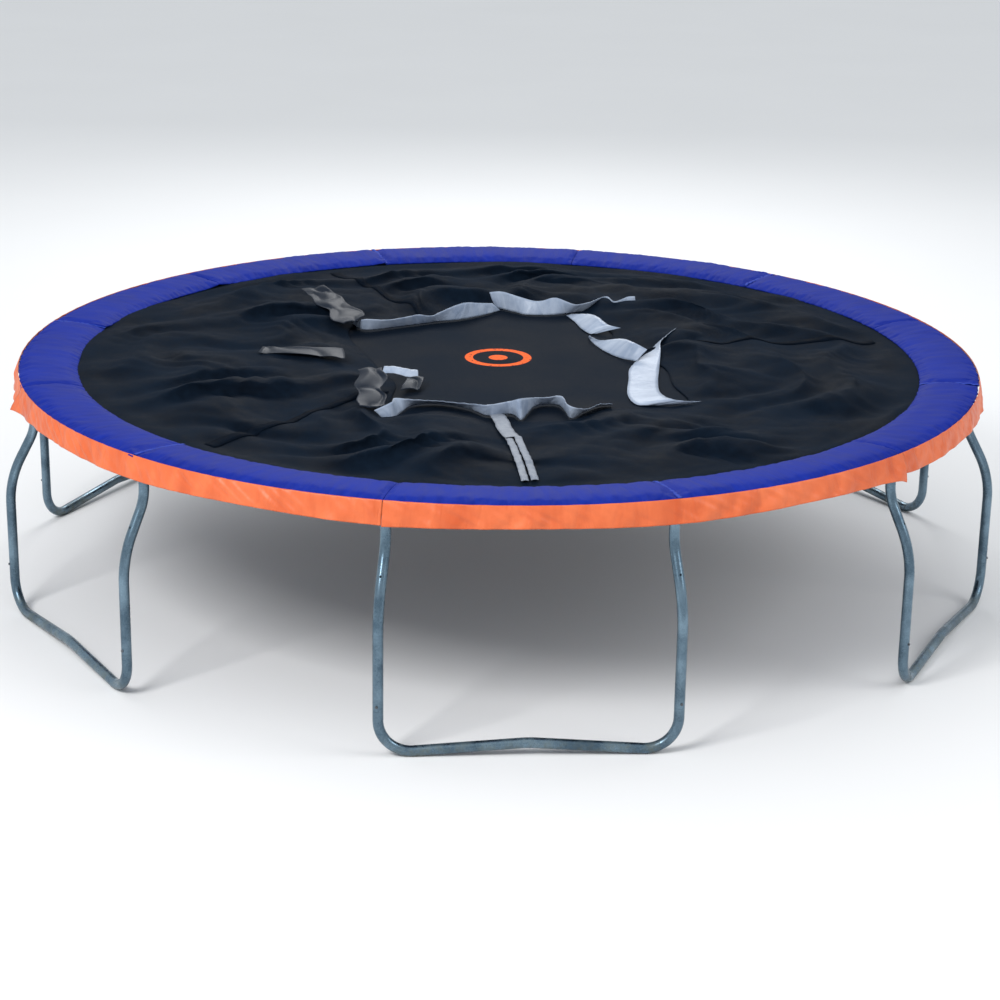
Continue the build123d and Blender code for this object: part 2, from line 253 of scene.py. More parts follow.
def soft_step(x: np.ndarray) -> np.ndarray:
    """Smooth rise from 0 at 0 to 1 at 1: 3 x squared minus 2 x cubed, held outside."""
    x = np.clip(x, 0, 1)
    return x * x * (3 - 2 * x)


def grid_faces(rows: int, cols: int, round_cols: bool = False, flip: bool = False) -> np.ndarray:
    """Quads of a grid of points numbered row by row.

    Args:
        rows: number of rows.
        cols: number of columns.
        round_cols: joins the last column to the first.
        flip: turns the faces over.

    Returns:
        An array of quads, four point numbers each.
    """
    i, j = np.meshgrid(np.arange(rows - 1), np.arange(cols if round_cols else cols - 1), indexing="ij")
    k = (j + 1) % cols
    quads = np.stack([i * cols + j, (i + 1) * cols + j, (i + 1) * cols + k, i * cols + k], axis=-1)
    quads = quads.reshape(-1, 4)
    return quads[:, ::-1] if flip else quads


@dataclass
class Shape:
    """Points, faces and a flat map being gathered for one mesh."""

    points: list = field(default_factory=list)
    faces: list = field(default_factory=list)
    flats: list = field(default_factory=list)
    slots: list = field(default_factory=list)
    count: int = 0

    def add(self, points: np.ndarray, faces: list, flat: np.ndarray | None = None, slots: tuple = ()) -> "Shape":
        """Put more points and faces in.

        Args:
            points: an array of points.
            faces: arrays or lists of faces that number those points from 0.
            flat: a u, v pair for each point, in metres along the surface.
            slots: the material slot of each group of faces, 0 where left out.

        Returns:
            The shape itself.
        """
        points = np.asarray(points, float).reshape(-1, 3)
        flat = points[:, :2] if flat is None else np.asarray(flat, float).reshape(-1, 2)
        for number, group in enumerate(faces):
            self.faces.extend((np.asarray(group) + self.count).tolist())
            self.slots.extend([slots[number] if number < len(slots) else 0] * len(group))
        self.points.append(points)
        self.flats.append(flat)
        self.count += len(points)
        return self

    def build(self, name: str, smooth: bool = True) -> bpy.types.Object:
        """Make the mesh object, with its flat map as its UV map.

        Args:
            name: the piece's name.
            smooth: shades the faces smooth.

        Returns:
            The new object, at the origin.
        """
        mesh = bpy.data.meshes.new(name)
        points, flats = np.concatenate(self.points), np.concatenate(self.flats)
        mesh.from_pydata(points.tolist(), [], self.faces)
        corner = np.empty(len(mesh.loops), np.int32)
        mesh.loops.foreach_get("vertex_index", corner)
        layer = mesh.uv_layers.new(name="flat")
        layer.data.foreach_set("uv", flats[corner].ravel().astype(np.float32))
        mesh.polygons.foreach_set("use_smooth", np.full(len(mesh.polygons), smooth))
        mesh.polygons.foreach_set("material_index", np.asarray(self.slots, np.int32))
        turned = bmesh.new()
        turned.from_mesh(mesh)
        bmesh.ops.recalc_face_normals(turned, faces=turned.faces)
        turned.to_mesh(mesh)
        turned.free()
        mesh.update()
        obj = bpy.data.objects.new(name, mesh)
        bpy.context.scene.collection.objects.link(obj)
        return obj


def surface_normals(grid: np.ndarray) -> np.ndarray:
    """Unit normals of a grid of points: the cross product of its two gradients."""
    down, across = np.gradient(grid, axis=0), np.gradient(grid, axis=1)
    normal = np.cross(down, across)
    return normal / np.maximum(np.linalg.norm(normal, axis=-1, keepdims=True), 1e-9)


def add_sheet(shape: Shape, grid: np.ndarray, thickness: float, flat: np.ndarray | None = None, back: int = 0) -> None:
    """Put a thin closed sheet in: the grid moved half the thickness to each side, with its rim closed.

    Args:
        shape: where it goes.
        grid: rows by columns of points.
        thickness: in metres.
        flat: u, v pairs of the same rows and columns.
        back: the material slot of the back.
    """
    rows, cols = grid.shape[:2]
    normal = surface_normals(grid)
    both = np.concatenate([(grid + normal * thickness / 2).reshape(-1, 3), (grid - normal * thickness / 2).reshape(-1, 3)])
    number = np.arange(rows * cols).reshape(rows, cols)
    rim = np.concatenate([number[0, :-1], number[:-1, -1], number[-1, :0:-1], number[:0:-1, 0]])
    after = np.roll(rim, -1)
    half = rows * cols
    sides = np.stack([rim, after, after + half, rim + half], axis=-1)
    faces = [grid_faces(rows, cols), grid_faces(rows, cols, flip=True) + half, sides]
    pairs = None if flat is None else np.concatenate([flat.reshape(-1, 2), flat.reshape(-1, 2)])
    shape.add(both, faces, pairs, (0, back, 0))


def add_tube(shape: Shape, path: np.ndarray, radius: float, sides: int, level: np.ndarray) -> None:
    """Put a round bar in: a circle carried along a path that stays near one plane, with closed ends.

    Args:
        shape: where it goes.
        path: points along the bar.
        radius: of the bar.
        sides: points round it.
        level: the plane's normal, which the path never runs along.
    """
    along = np.gradient(path, axis=0)
    along /= np.linalg.norm(along, axis=1, keepdims=True)
    side = np.cross(along, level)
    side /= np.linalg.norm(side, axis=1, keepdims=True)
    up = np.cross(side, along)
    turn = np.arange(sides) * 2 * math.pi / sides
    ring = side[:, None] * np.cos(turn)[:, None] + up[:, None] * np.sin(turn)[:, None]
    points = path[:, None] + radius * ring
    ends = [[list(range(sides))], [[(len(path) - 1) * sides + k for k in range(sides)][::-1]]]
    shape.add(points, [grid_faces(len(path), sides, round_cols=True, flip=True), *ends])


def smooth_line(points: np.ndarray, steps: int) -> np.ndarray:
    """A smooth line through points: Catmull-Rom spans of cubic blends.

    Args:
        points: the stations, one row each, of any width.
        steps: new points for each span.

    Returns:
        The denser rows.
    """
    points = np.asarray(points, float)
    padded = np.concatenate([2 * points[:1] - points[1:2], points, 2 * points[-1:] - points[-2:-1]])
    t = (np.arange(steps) / steps)[:, None]
    spans = []
    for a, b, c, d in zip(padded[:-3], padded[1:-2], padded[2:-1], padded[3:]):
        spans.append(0.5 * (2 * b + (c - a) * t + (2 * a - 5 * b + 4 * c - d) * t**2 + (3 * b - a - 3 * c + d) * t**3))
    return np.concatenate([*spans, points[-1:]])


# ------------------------------------------------------------------ shader groups
def socket(group: bpy.types.NodeTree, name: str, kind: str, put_out: bool, value: object = None) -> None:
    """Add a named socket to a node group.

    Args:
        group: the node group.
        name: the socket's name.
        kind: Float, Color or Vector.
        put_out: True for an output.
        value: an input's default.
    """
    made = group.interface.new_socket(name, in_out="OUTPUT" if put_out else "INPUT", socket_type=f"NodeSocket{kind}")
    if value is not None:
        made.default_value = value


class Wiring:
    """A short way to place and join nodes in one tree."""

    def __init__(self, tree: bpy.types.NodeTree) -> None:
        """Keep the tree that nodes are placed in."""
        self.tree = tree

    def node(self, kind: str, inputs: dict | None = None, **settings: object) -> bpy.types.Node:
        """Place a node.

        Args:
            kind: its type without the ShaderNode prefix.
            inputs: input name or number to a value or to a socket that feeds it.
            settings: the node's own properties.

        Returns:
            The node.
        """
        made = self.tree.nodes.new(kind if kind.startswith("Node") else f"ShaderNode{kind}")
        for name, value in settings.items():
            setattr(made, name, value)
        for name, value in (inputs or {}).items():
            if isinstance(value, bpy.types.NodeSocket):
                self.tree.links.new(value, made.inputs[name])
            else:
                made.inputs[name].default_value = value
        return made

    def math(self, operation: str, *values: object, clamp: bool = False) -> bpy.types.NodeSocket:
        """The result of a Math node on numbers or sockets."""
        made = self.node("Math", dict(enumerate(values)), operation=operation, use_clamp=clamp)
        return made.outputs[0]

    def mix(self, factor: object, low: object, high: object) -> bpy.types.NodeSocket:
        """The result of a colour mix of two colours or sockets."""
        made = self.node("Mix", {0: factor, 6: low, 7: high}, data_type="RGBA")
        return made.outputs[2]

    def band(self, value: bpy.types.NodeSocket, low: float, high: float, out_low: float = 0.0, out_high: float = 1.0):
        """A value spread from one range to another, with its ends held."""
        inputs = {0: value, 1: low, 2: high, 3: out_low, 4: out_high}
        return self.node("MapRange", inputs, clamp=True).outputs[0]


def start_group(name: str) -> tuple[bpy.types.NodeTree, Wiring]:
    """Start a node group and its wiring."""
    group = bpy.data.node_groups.new(name, "ShaderNodeTree")
    return group, Wiring(group)


def make_mottle_group() -> bpy.types.NodeTree:
    """Cloudy unevenness: two sizes of noise as a tone from 0 to 1, and as a height."""
    group, wire = start_group("mottle")
    socket(group, "Place", "Vector", False)
    socket(group, "Size", "Float", False, 8.0)
    socket(group, "Fine", "Float", False, 90.0)
    socket(group, "Tone", "Float", True)
    socket(group, "Height", "Float", True)
    given = wire.node("NodeGroupInput")
    coarse = wire.node("TexNoise", {"Vector": given.outputs[0], "Scale": given.outputs[1], "Detail": 4.0})
    fine = wire.node("TexNoise", {"Vector": given.outputs[0], "Scale": given.outputs[2], "Detail": 3.0})
    both = wire.math("ADD", wire.math("MULTIPLY", coarse.outputs[0], 0.7), wire.math("MULTIPLY", fine.outputs[0], 0.3))
    tone = wire.band(both, 0.36, 0.64)
    wire.node("NodeGroupOutput", {0: tone, 1: fine.outputs[0]})
    return group


def make_weave_group() -> bpy.types.NodeTree:
    """A plain weave on a flat map: two crossed rows of threads, as a height and as painted shade for the gaps between
    the threads.
    """
    group, wire = start_group("weave")
    socket(group, "Flat", "Vector", False)
    socket(group, "Threads", "Float", False, 500.0)
    socket(group, "Height", "Float", True)
    socket(group, "GapShade", "Float", True)
    given = wire.node("NodeGroupInput")
    parts = wire.node("SeparateXYZ", {0: given.outputs[0]})
    rows = []
    for axis in (0, 1):
        turned = wire.math("MULTIPLY", wire.math("MULTIPLY", parts.outputs[axis], given.outputs[1]), math.pi)
        rows.append(wire.math("ABSOLUTE", wire.math("SINE", turned)))
    height = wire.math("MULTIPLY", wire.math("ADD", rows[0], rows[1]), 0.5)
    # painted shade: highest in the gaps between the threads, where shade would fall
    gap = wire.math("SUBTRACT", 1.0, wire.math("MULTIPLY", rows[0], rows[1]))
    wire.node("NodeGroupOutput", {0: height, 1: gap})
    return group


def make_soil_group() -> bpy.types.NodeTree:
    """Soil and grass stain that climbs from the ground in broken patches, as a mask."""
    group, wire = start_group("soil")
    socket(group, "Place", "Vector", False)
    socket(group, "Reach", "Float", False, 0.1)
    socket(group, "Mask", "Float", True)
    given = wire.node("NodeGroupInput")
    height = wire.node("SeparateXYZ", {0: given.outputs[0]}).outputs[2]
    patch = wire.node("TexNoise", {"Vector": given.outputs[0], "Scale": 22.0, "Detail": 6.0, "Roughness": 0.7})
    low = wire.math("SUBTRACT", 1.0, wire.math("DIVIDE", height, given.outputs[1]), clamp=True)
    mask = wire.math("MULTIPLY", low, wire.band(patch.outputs[0], 0.42, 0.66))
    wire.node("NodeGroupOutput", {0: mask})
    return group


def make_crease_group() -> bpy.types.NodeTree:
    """Creases in coated cloth: stretched, ridged noise on a flat map, as a height and as a tone."""
    group, wire = start_group("crease")
    socket(group, "Flat", "Vector", False)
    socket(group, "Across", "Float", False, 30.0)
    socket(group, "Along", "Float", False, 5.0)
    socket(group, "Height", "Float", True)
    socket(group, "Tone", "Float", True)
    given = wire.node("NodeGroupInput")
    spread = wire.node("CombineXYZ", {0: given.outputs[1], 1: given.outputs[2], 2: 1.0})
    placed = wire.node("VectorMath", {0: given.outputs[0], 1: spread.outputs[0]}, operation="MULTIPLY")
    noise = wire.node("TexNoise", {"Vector": placed.outputs[0], "Scale": 1.0, "Detail": 4.0, "Distortion": 0.6})
    ridge = wire.math("ABSOLUTE", wire.math("SUBTRACT", noise.outputs[0], 0.5))
    height = wire.band(ridge, 0.0, 0.18)
    wire.node("NodeGroupOutput", {0: height, 1: wire.band(noise.outputs[0], 0.35, 0.65)})
    return group


class Effects:
    """The shader groups that several finishes share, each built once."""

    def __init__(self) -> None:
        """Build the groups."""
        self.mottle = make_mottle_group()
        self.weave = make_weave_group()
        self.soil = make_soil_group()
        self.crease = make_crease_group()


class Mapped(Enum):
    """What a pattern is placed by."""

    PLACE = "Object"
    FLAT = "UV"


def start_material(name: str) -> tuple[bpy.types.Material, Wiring, bpy.types.Node, dict]:
    """Start a material.

    Args:
        name: the material's name.

    Returns:
        The material, its wiring, its Principled shader and its place and flat coordinates.
    """
    material = bpy.data.materials.new(name)
    material.use_nodes = True
    wire = Wiring(material.node_tree)
    shader = material.node_tree.nodes["Principled BSDF"]
    coordinates = wire.node("TexCoord")
    places = {Mapped.PLACE: coordinates.outputs["Object"], Mapped.FLAT: coordinates.outputs["UV"]}
    return material, wire, shader, places


def add_bump(wire: Wiring, shader: bpy.types.Node, height: bpy.types.NodeSocket, strength: float, depth: float) -> None:
    """Feed a height to the shader's normal through one more bump.

    Args:
        wire: the material's wiring.
        shader: its Principled shader.
        height: what is raised.
        strength: of the bump.
        depth: in metres.
    """
    before = shader.inputs["Normal"].links
    inputs = {"Height": height, "Strength": strength, "Distance": depth}
    if before:
        inputs["Normal"] = before[0].from_socket
    bump = wire.node("Bump", inputs)
    wire.tree.links.new(bump.outputs[0], shader.inputs["Normal"])


Colour = tuple[float, float, float, float]


def tint(red: float, green: float, blue: float) -> Colour:
    """A colour with full alpha."""
    return (red, green, blue, 1.0)


@dataclass(frozen=True)
class GalvanisedSteel:
    """Hot galvanised tube: cloudy bluish zinc, dull with brighter grain, and soiled near the ground."""

    dark: Colour = tint(0.045, 0.080, 0.115)
    light: Colour = tint(0.20, 0.29, 0.36)
    stain: Colour = tint(0.055, 0.06, 0.03)
    reach: float = 0.10

    def make(self, effects: Effects) -> bpy.types.Material:
        """Build the material."""
        material, wire, shader, places = start_material("galvanised_steel")
        place = places[Mapped.PLACE]
        cloud = wire.node("Group", node_tree=effects.mottle)
        wire.tree.links.new(place, cloud.inputs[0])
        cloud.inputs[1].default_value, cloud.inputs[2].default_value = 9.0, 160.0
        soil = wire.node("Group", node_tree=effects.soil)
        wire.tree.links.new(place, soil.inputs[0])
        soil.inputs[1].default_value = self.reach
        stretched = wire.node("Mapping", {"Vector": place, "Scale": (60.0, 60.0, 3.0)})
        streak = wire.node("TexNoise", {"Vector": stretched.outputs[0], "Scale": 1.0, "Detail": 3.0})
        tone = wire.math("ADD", wire.math("MULTIPLY", cloud.outputs[0], 0.7), wire.math("MULTIPLY", streak.outputs[0], 0.3))
        zinc = wire.mix(tone, self.dark, self.light)
        wire.tree.links.new(wire.mix(soil.outputs[0], zinc, self.stain), shader.inputs["Base Color"])
        metal = wire.band(soil.outputs[0], 0.0, 0.6, 0.9, 0.1)
        wire.tree.links.new(metal, shader.inputs["Metallic"])
        rough = wire.math("ADD", wire.band(tone, 0.2, 0.9, 0.30, 0.18), wire.math("MULTIPLY", soil.outputs[0], 0.4))
        wire.tree.links.new(rough, shader.inputs["Roughness"])
        add_bump(wire, shader, cloud.outputs[1], 0.12, 0.0006)
        return material


@dataclass(frozen=True)
class BrightZinc:
    """Zinc plated wire or screw, with a faint cloud of white bloom."""

    name: str
    base: Colour = tint(0.22, 0.23, 0.25)
    bloom: Colour = tint(0.09, 0.10, 0.11)

    def make(self, effects: Effects) -> bpy.types.Material:
        """Build the material."""
        material, wire, shader, places = start_material(self.name)
        cloud = wire.node("Group", node_tree=effects.mottle)
        wire.tree.links.new(places[Mapped.PLACE], cloud.inputs[0])
        cloud.inputs[1].default_value, cloud.inputs[2].default_value = 30.0, 400.0
        wire.tree.links.new(wire.mix(cloud.outputs[0], self.base, self.bloom), shader.inputs["Base Color"])
        shader.inputs["Metallic"].default_value = 0.95
        wire.tree.links.new(wire.band(cloud.outputs[0], 0.0, 1.0, 0.25, 0.45), shader.inputs["Roughness"])
        add_bump(wire, shader, cloud.outputs[1], 0.1, 0.0003)
        return material


@dataclass(frozen=True)
class CoatedVinyl:
    """Vinyl coated cloth: a satin skin that shows its cloth backing, fine creases and a sun-faded cloud."""

    name: str
    base: Colour
    faded: Colour
    rough: float
    coat: float
    across: float = 42.0
    along: float = 5.0
    crease_depth: float = 0.002
    shine: float = 0.3

    def make(self, effects: Effects) -> bpy.types.Material:
        """Build the material."""
        material, wire, shader, places = start_material(self.name)
        cloud = wire.node("Group", node_tree=effects.mottle)
        wire.tree.links.new(places[Mapped.PLACE], cloud.inputs[0])
        cloud.inputs[1].default_value, cloud.inputs[2].default_value = 3.5, 24.0
        crease = wire.node("Group", node_tree=effects.crease)
        wire.tree.links.new(places[Mapped.FLAT], crease.inputs[0])
        crease.inputs[1].default_value, crease.inputs[2].default_value = self.across, self.along
        weave = wire.node("Group", node_tree=effects.weave)
        wire.tree.links.new(places[Mapped.FLAT], weave.inputs[0])
        weave.inputs[1].default_value = 420.0
        tone = wire.math("MULTIPLY", wire.math("ADD", cloud.outputs[0], crease.outputs[1]), 0.5)
        wire.tree.links.new(wire.mix(tone, self.base, self.faded), shader.inputs["Base Color"])
        wire.tree.links.new(wire.band(tone, 0.0, 1.0, self.rough - 0.06, self.rough + 0.08), shader.inputs["Roughness"])
        shader.inputs["Coat Weight"].default_value = self.coat
        shader.inputs["Specular IOR Level"].default_value = self.shine
        shader.inputs["Coat Roughness"].default_value = 0.3
        add_bump(wire, shader, crease.outputs[0], 0.45, self.crease_depth)
        add_bump(wire, shader, weave.outputs[0], 0.12, 0.0003)
        return material


@dataclass(frozen=True)
class WovenCloth:
    """Woven webbing, elastic or coated band: threads on a flat map, with painted shade in the gaps between them, and
    soft wear.
    """

    name: str
    base: Colour
    worn: Colour
    threads: float
    rough: float = 0.75
    depth: float = 0.0006
    shine: float = 0.2

    def make(self, effects: Effects) -> bpy.types.Material:
        """Build the material."""
        material, wire, shader, places = start_material(self.name)
        cloud = wire.node("Group", node_tree=effects.mottle)
        wire.tree.links.new(places[Mapped.PLACE], cloud.inputs[0])
        cloud.inputs[1].default_value, cloud.inputs[2].default_value = 14.0, 70.0
        weave = wire.node("Group", node_tree=effects.weave)
        wire.tree.links.new(places[Mapped.FLAT], weave.inputs[0])
        weave.inputs[1].default_value = self.threads
        cloth = wire.mix(cloud.outputs[0], self.base, self.worn)
        # painted shade: the cloth colour is darkened towards black in the gaps between the threads
        shaded = wire.mix(wire.math("MULTIPLY", weave.outputs[1], 0.35), cloth, tint(0.0, 0.0, 0.0))
        wire.tree.links.new(shaded, shader.inputs["Base Color"])
        wire.tree.links.new(wire.band(cloud.outputs[0], 0.0, 1.0, self.rough - 0.1, self.rough + 0.1), shader.inputs["Roughness"])
        shader.inputs["Specular IOR Level"].default_value = self.shine
        add_bump(wire, shader, weave.outputs[0], 0.5, self.depth)
        return material


@dataclass(frozen=True)
class MatWeave:
    """The jumping mat's woven polypropylene, dark with a faint blue bloom, and a plain printed ring."""

    base: Colour = tint(0.0022, 0.0048, 0.0100)
    bloom: Colour = tint(0.0050, 0.0100, 0.0190)
    print_colour: Colour = tint(0.85, 0.13, 0.03)
    mark_at: tuple[float, float] = (0.0, 0.08)
    mark_outer: float = 0.155
    mark_inner: float = 0.115
    mark_dot: float = 0.045
    printed: bool = True

    def mark(self, wire: Wiring, place: bpy.types.NodeSocket) -> bpy.types.NodeSocket:
        """A mask of the printed ring and its middle dot, from the distance to the mark's centre."""
        centre = (-self.mark_at[0], -self.mark_at[1], 0.0)
        moved = wire.node("Mapping", {"Vector": place, "Location": centre, "Scale": (1.0, 1.0, 0.0)})
        distance = wire.node("VectorMath", {0: moved.outputs[0]}, operation="LENGTH").outputs["Value"]
        ring = wire.math("MULTIPLY", wire.band(distance, self.mark_outer, self.mark_outer - 0.003), wire.band(distance, self.mark_inner, self.mark_inner + 0.003))
        dot = wire.band(distance, self.mark_dot, self.mark_dot - 0.003)
        return wire.math("MAXIMUM", ring, dot)

    def make(self, effects: Effects) -> bpy.types.Material:
        """Build the material."""
        material, wire, shader, places = start_material("mat_weave_printed" if self.printed else "mat_weave")
        place = places[Mapped.PLACE]
        cloud = wire.node("Group", node_tree=effects.mottle)
        wire.tree.links.new(place, cloud.inputs[0])
        cloud.inputs[1].default_value, cloud.inputs[2].default_value = 2.2, 60.0
        weave = wire.node("Group", node_tree=effects.weave)
        wire.tree.links.new(place, weave.inputs[0])
        weave.inputs[1].default_value = 260.0
        cloth = wire.mix(cloud.outputs[0], self.base, self.bloom)
        if self.printed:
            worn = wire.math("MULTIPLY", self.mark(wire, place), wire.band(cloud.outputs[1], 0.30, 0.42))
            cloth = wire.mix(worn, cloth, self.print_colour)
        wire.tree.links.new(cloth, shader.inputs["Base Color"])
        wire.tree.links.new(wire.band(cloud.outputs[0], 0.0, 1.0, 0.62, 0.78), shader.inputs["Roughness"])
        shader.inputs["Specular IOR Level"].default_value = 0.03
        add_bump(wire, shader, weave.outputs[0], 0.35, 0.0008)
        return material


@dataclass(frozen=True)
class KnittedNet:
    """Fine knitted safety net: dark navy with a faint sheen where it turns away, and its open mesh as bump."""

    base: Colour = tint(0.0013, 0.0030, 0.0065)
    bloom: Colour = tint(0.0042, 0.0092, 0.0180)
    edge: Colour = tint(0.25, 0.45, 0.80)

    def make(self, effects: Effects) -> bpy.types.Material:
        """Build the material."""
        material, wire, shader, places = start_material("knitted_net")
        cloud = wire.node("Group", node_tree=effects.mottle)
        wire.tree.links.new(places[Mapped.PLACE], cloud.inputs[0])
        cloud.inputs[1].default_value, cloud.inputs[2].default_value = 3.0, 30.0
        weave = wire.node("Group", node_tree=effects.weave)
        wire.tree.links.new(places[Mapped.FLAT], weave.inputs[0])
        weave.inputs[1].default_value = 330.0
        cloth = wire.mix(cloud.outputs[0], self.base, self.bloom)
        shader.inputs["Sheen Weight"].default_value = 0.015
        shader.inputs["Specular IOR Level"].default_value = 0.02
        shader.inputs["Sheen Roughness"].default_value = 0.45
        shader.inputs["Sheen Tint"].default_value = self.edge
        wire.tree.links.new(cloth, shader.inputs["Base Color"])
        wire.tree.links.new(wire.band(cloud.outputs[0], 0.0, 1.0, 0.55, 0.8), shader.inputs["Roughness"])
        add_bump(wire, shader, weave.outputs[0], 0.4, 0.001)
        return material


# ------------------------------------------------------------------ sizes read from the frame
@dataclass(frozen=True)
class Plan:
    """Radii and heights that the pieces share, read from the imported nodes."""

    mat_top: float
    mat_low: float
    mat_r: float
    middle_r: float
    hem_low: float
    pad_outer: float
    pad_inner: float
    pad_low: float
    pad_top: float
    skirt_top: float
    skirt_low: float
    skirt_hem_r: float
    net_outer: float
    net_top: float
    rail_r: float
    rail_z: float
    rail_tube: float
    ring_point: float
    ring_z: float


def read_plan() -> Plan:
    """Work the plan out from the nodes' boxes."""
    field_low, field_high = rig.box("mat_field")
    middle_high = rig.box("mat_centre")[1]
    pad_low, pad_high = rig.box("pad_panel_01")
    skirt_low, skirt_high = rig.box("skirt_panel_1")
    net_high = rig.box("enclosure_net")[1]
    rings_low, rings_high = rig.box("mat_rings")
    hem_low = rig.box("mat_hem")[0]
    ties_low, ties_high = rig.box("pad_ties")
    rail_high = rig.box("top_rail_01")[1]
    rail_z = (ties_low.z + ties_high.z) / 2
    rail_tube = rail_high.z - rail_z
    upright_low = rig.box("leg_upright_01")
    return Plan(
        mat_top=field_high.z,
        mat_low=field_low.z,
        mat_r=field_high.x,
        middle_r=middle_high.x,
        hem_low=hem_low.z,
        pad_outer=-pad_low.y,
        pad_inner=-pad_high.y / math.cos(SECTOR / 2),
        pad_low=pad_low.z,
        pad_top=pad_high.z,
        skirt_top=skirt_high.z,
        skirt_low=skirt_low.z,
        skirt_hem_r=-skirt_low.y,
        net_outer=net_high.x,
        net_top=net_high.z,
        rail_r=-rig.box("top_rail_01")[0].y - rail_tube,
        rail_z=rail_z,
        rail_tube=rail_tube,
        ring_point=rings_high.x,
        ring_z=(rings_low.z + rings_high.z) / 2,
    )


def finish_piece(obj: bpy.types.Object, body: str | None, slot: str, stands_for: tuple, *materials: bpy.types.Material) -> None:
    """Dress a piece and tie it to the frame.

    Args:
        obj: the piece.
        body: the CAD body it rides on, or None for a piece that is blended between two.
        slot: the record's material slot.
        stands_for: names of the CAD nodes it replaces.
        materials: its materials, in slot order.
    """
    for material in materials:
        obj.data.materials.append(material)
    if body:
        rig.ride(obj, body)
    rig.slot(obj, slot)
    if stands_for:
        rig.replaces(obj, *stands_for)
    LOG.info("%s: %d faces on %s", obj.name, len(obj.data.polygons), body)


# ------------------------------------------------------------------ steel
@dataclass
class SteelFrame:
    """The carried-over rails, uprights, bases and screws."""

    steel: GalvanisedSteel = GalvanisedSteel()
    zinc: BrightZinc = BrightZinc("bright_zinc")

    def dress(self, effects: Effects) -> None:
        """Give each steel node its finish."""
        steel, zinc = self.steel.make(effects), self.zinc.make(effects)
        for name, node in frame["nodes"].items():
            if name.startswith(("top_rail", "leg_")):
                for place in node.material_slots:
                    place.material = zinc if name == "leg_screws" else steel
                LOG.info("%s: dressed", name)


# ------------------------------------------------------------------ springs and rings
@dataclass
class SpringSet:
    """Ninety-six wound springs, in twelve groups that stretch between the rail and the mat."""

    plan: Plan
    count: int = 96
    wire: float = 0.0035
    body_r: float = 0.0088
    body_length: float = 0.145
    turn_points: int = 9
    wire_sides: int = 5

    def spring_path(self) -> np.ndarray:
        """One spring at azimuth 0, as points (radial, sideways, up).

        Returns:
            The outer hook, a helix whose angle grows evenly along the body, then the inner hook.
        """
        plan = self.plan
        outer = np.array([plan.rail_r - plan.rail_tube * math.cos(math.radians(20)), 0.0, plan.rail_z + plan.rail_tube * math.sin(math.radians(20))])
        inner = np.array([plan.ring_point - 0.005, 0.0, plan.ring_z + 0.006])
        axis = (outer - inner) / np.linalg.norm(outer - inner)
        up = np.array([-axis[2], 0.0, axis[0]])
        side = np.array([0.0, 1.0, 0.0])
        middle = (outer + inner) / 2
        far, near = middle + axis * self.body_length / 2, middle - axis * self.body_length / 2
        turns = self.body_length / self.wire
        t = np.linspace(0, 1, int(turns * self.turn_points))[:, None]
        angle = 2 * math.pi * turns * t
        helix = far + (near - far) * t + self.body_r * (up * np.cos(angle) + side * np.sin(angle))
        outer_hook = smooth_line([outer + [0.006, 0, -0.007], outer + [0.009, 0, 0.001], outer + [-0.002, 0, 0.003], far + axis * 0.006 + up * 0.002], 3)
        inner_hook = smooth_line([near - axis * 0.006 + up * 0.002, inner + [0.003, 0, 0.002], inner + [-0.004, 0, -0.001], inner + [-0.003, 0, -0.009], inner + [0.004, 0, -0.011]], 3)
        return np.concatenate([outer_hook, helix, inner_hook])

    def build(self, effects: Effects) -> None:
        """Build the twelve groups and let each stretch from the frame to the mat's edge."""
        plan, path = self.plan, self.spring_path()
        material = BrightZinc("spring_wire").make(effects)
        step = 2 * math.pi / self.count
        for group in range(SECTORS):
            shape = Shape()
            for k in range(self.count // SECTORS):
                azimuth = (group * (self.count // SECTORS) + k + 0.5) * step
                out = np.array([math.sin(azimuth), -math.cos(azimuth), 0.0])
                side = np.array([math.cos(azimuth), math.sin(azimuth), 0.0])
                placed = path[:, :1] * out + path[:, 1:2] * side + path[:, 2:] * [0, 0, 1]
                add_tube(shape, placed, self.wire / 2 * 0.97, self.wire_sides, side + 0.35 * out)
            obj = shape.build(f"springs_{group + 1:02d}")
            finish_piece(obj, None, "spring_wire", ("springs",), material)
            middle = (group + 0.5) * SECTOR
            start, end = 2.060 * math.cos(SECTOR / 2) + 0.02, 1.888
            at = lambda r: (r * math.sin(middle), -r * math.cos(middle), plan.mat_top)
            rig.blend(obj, "frame", "mat_edge", start=at(start), end=at(end))


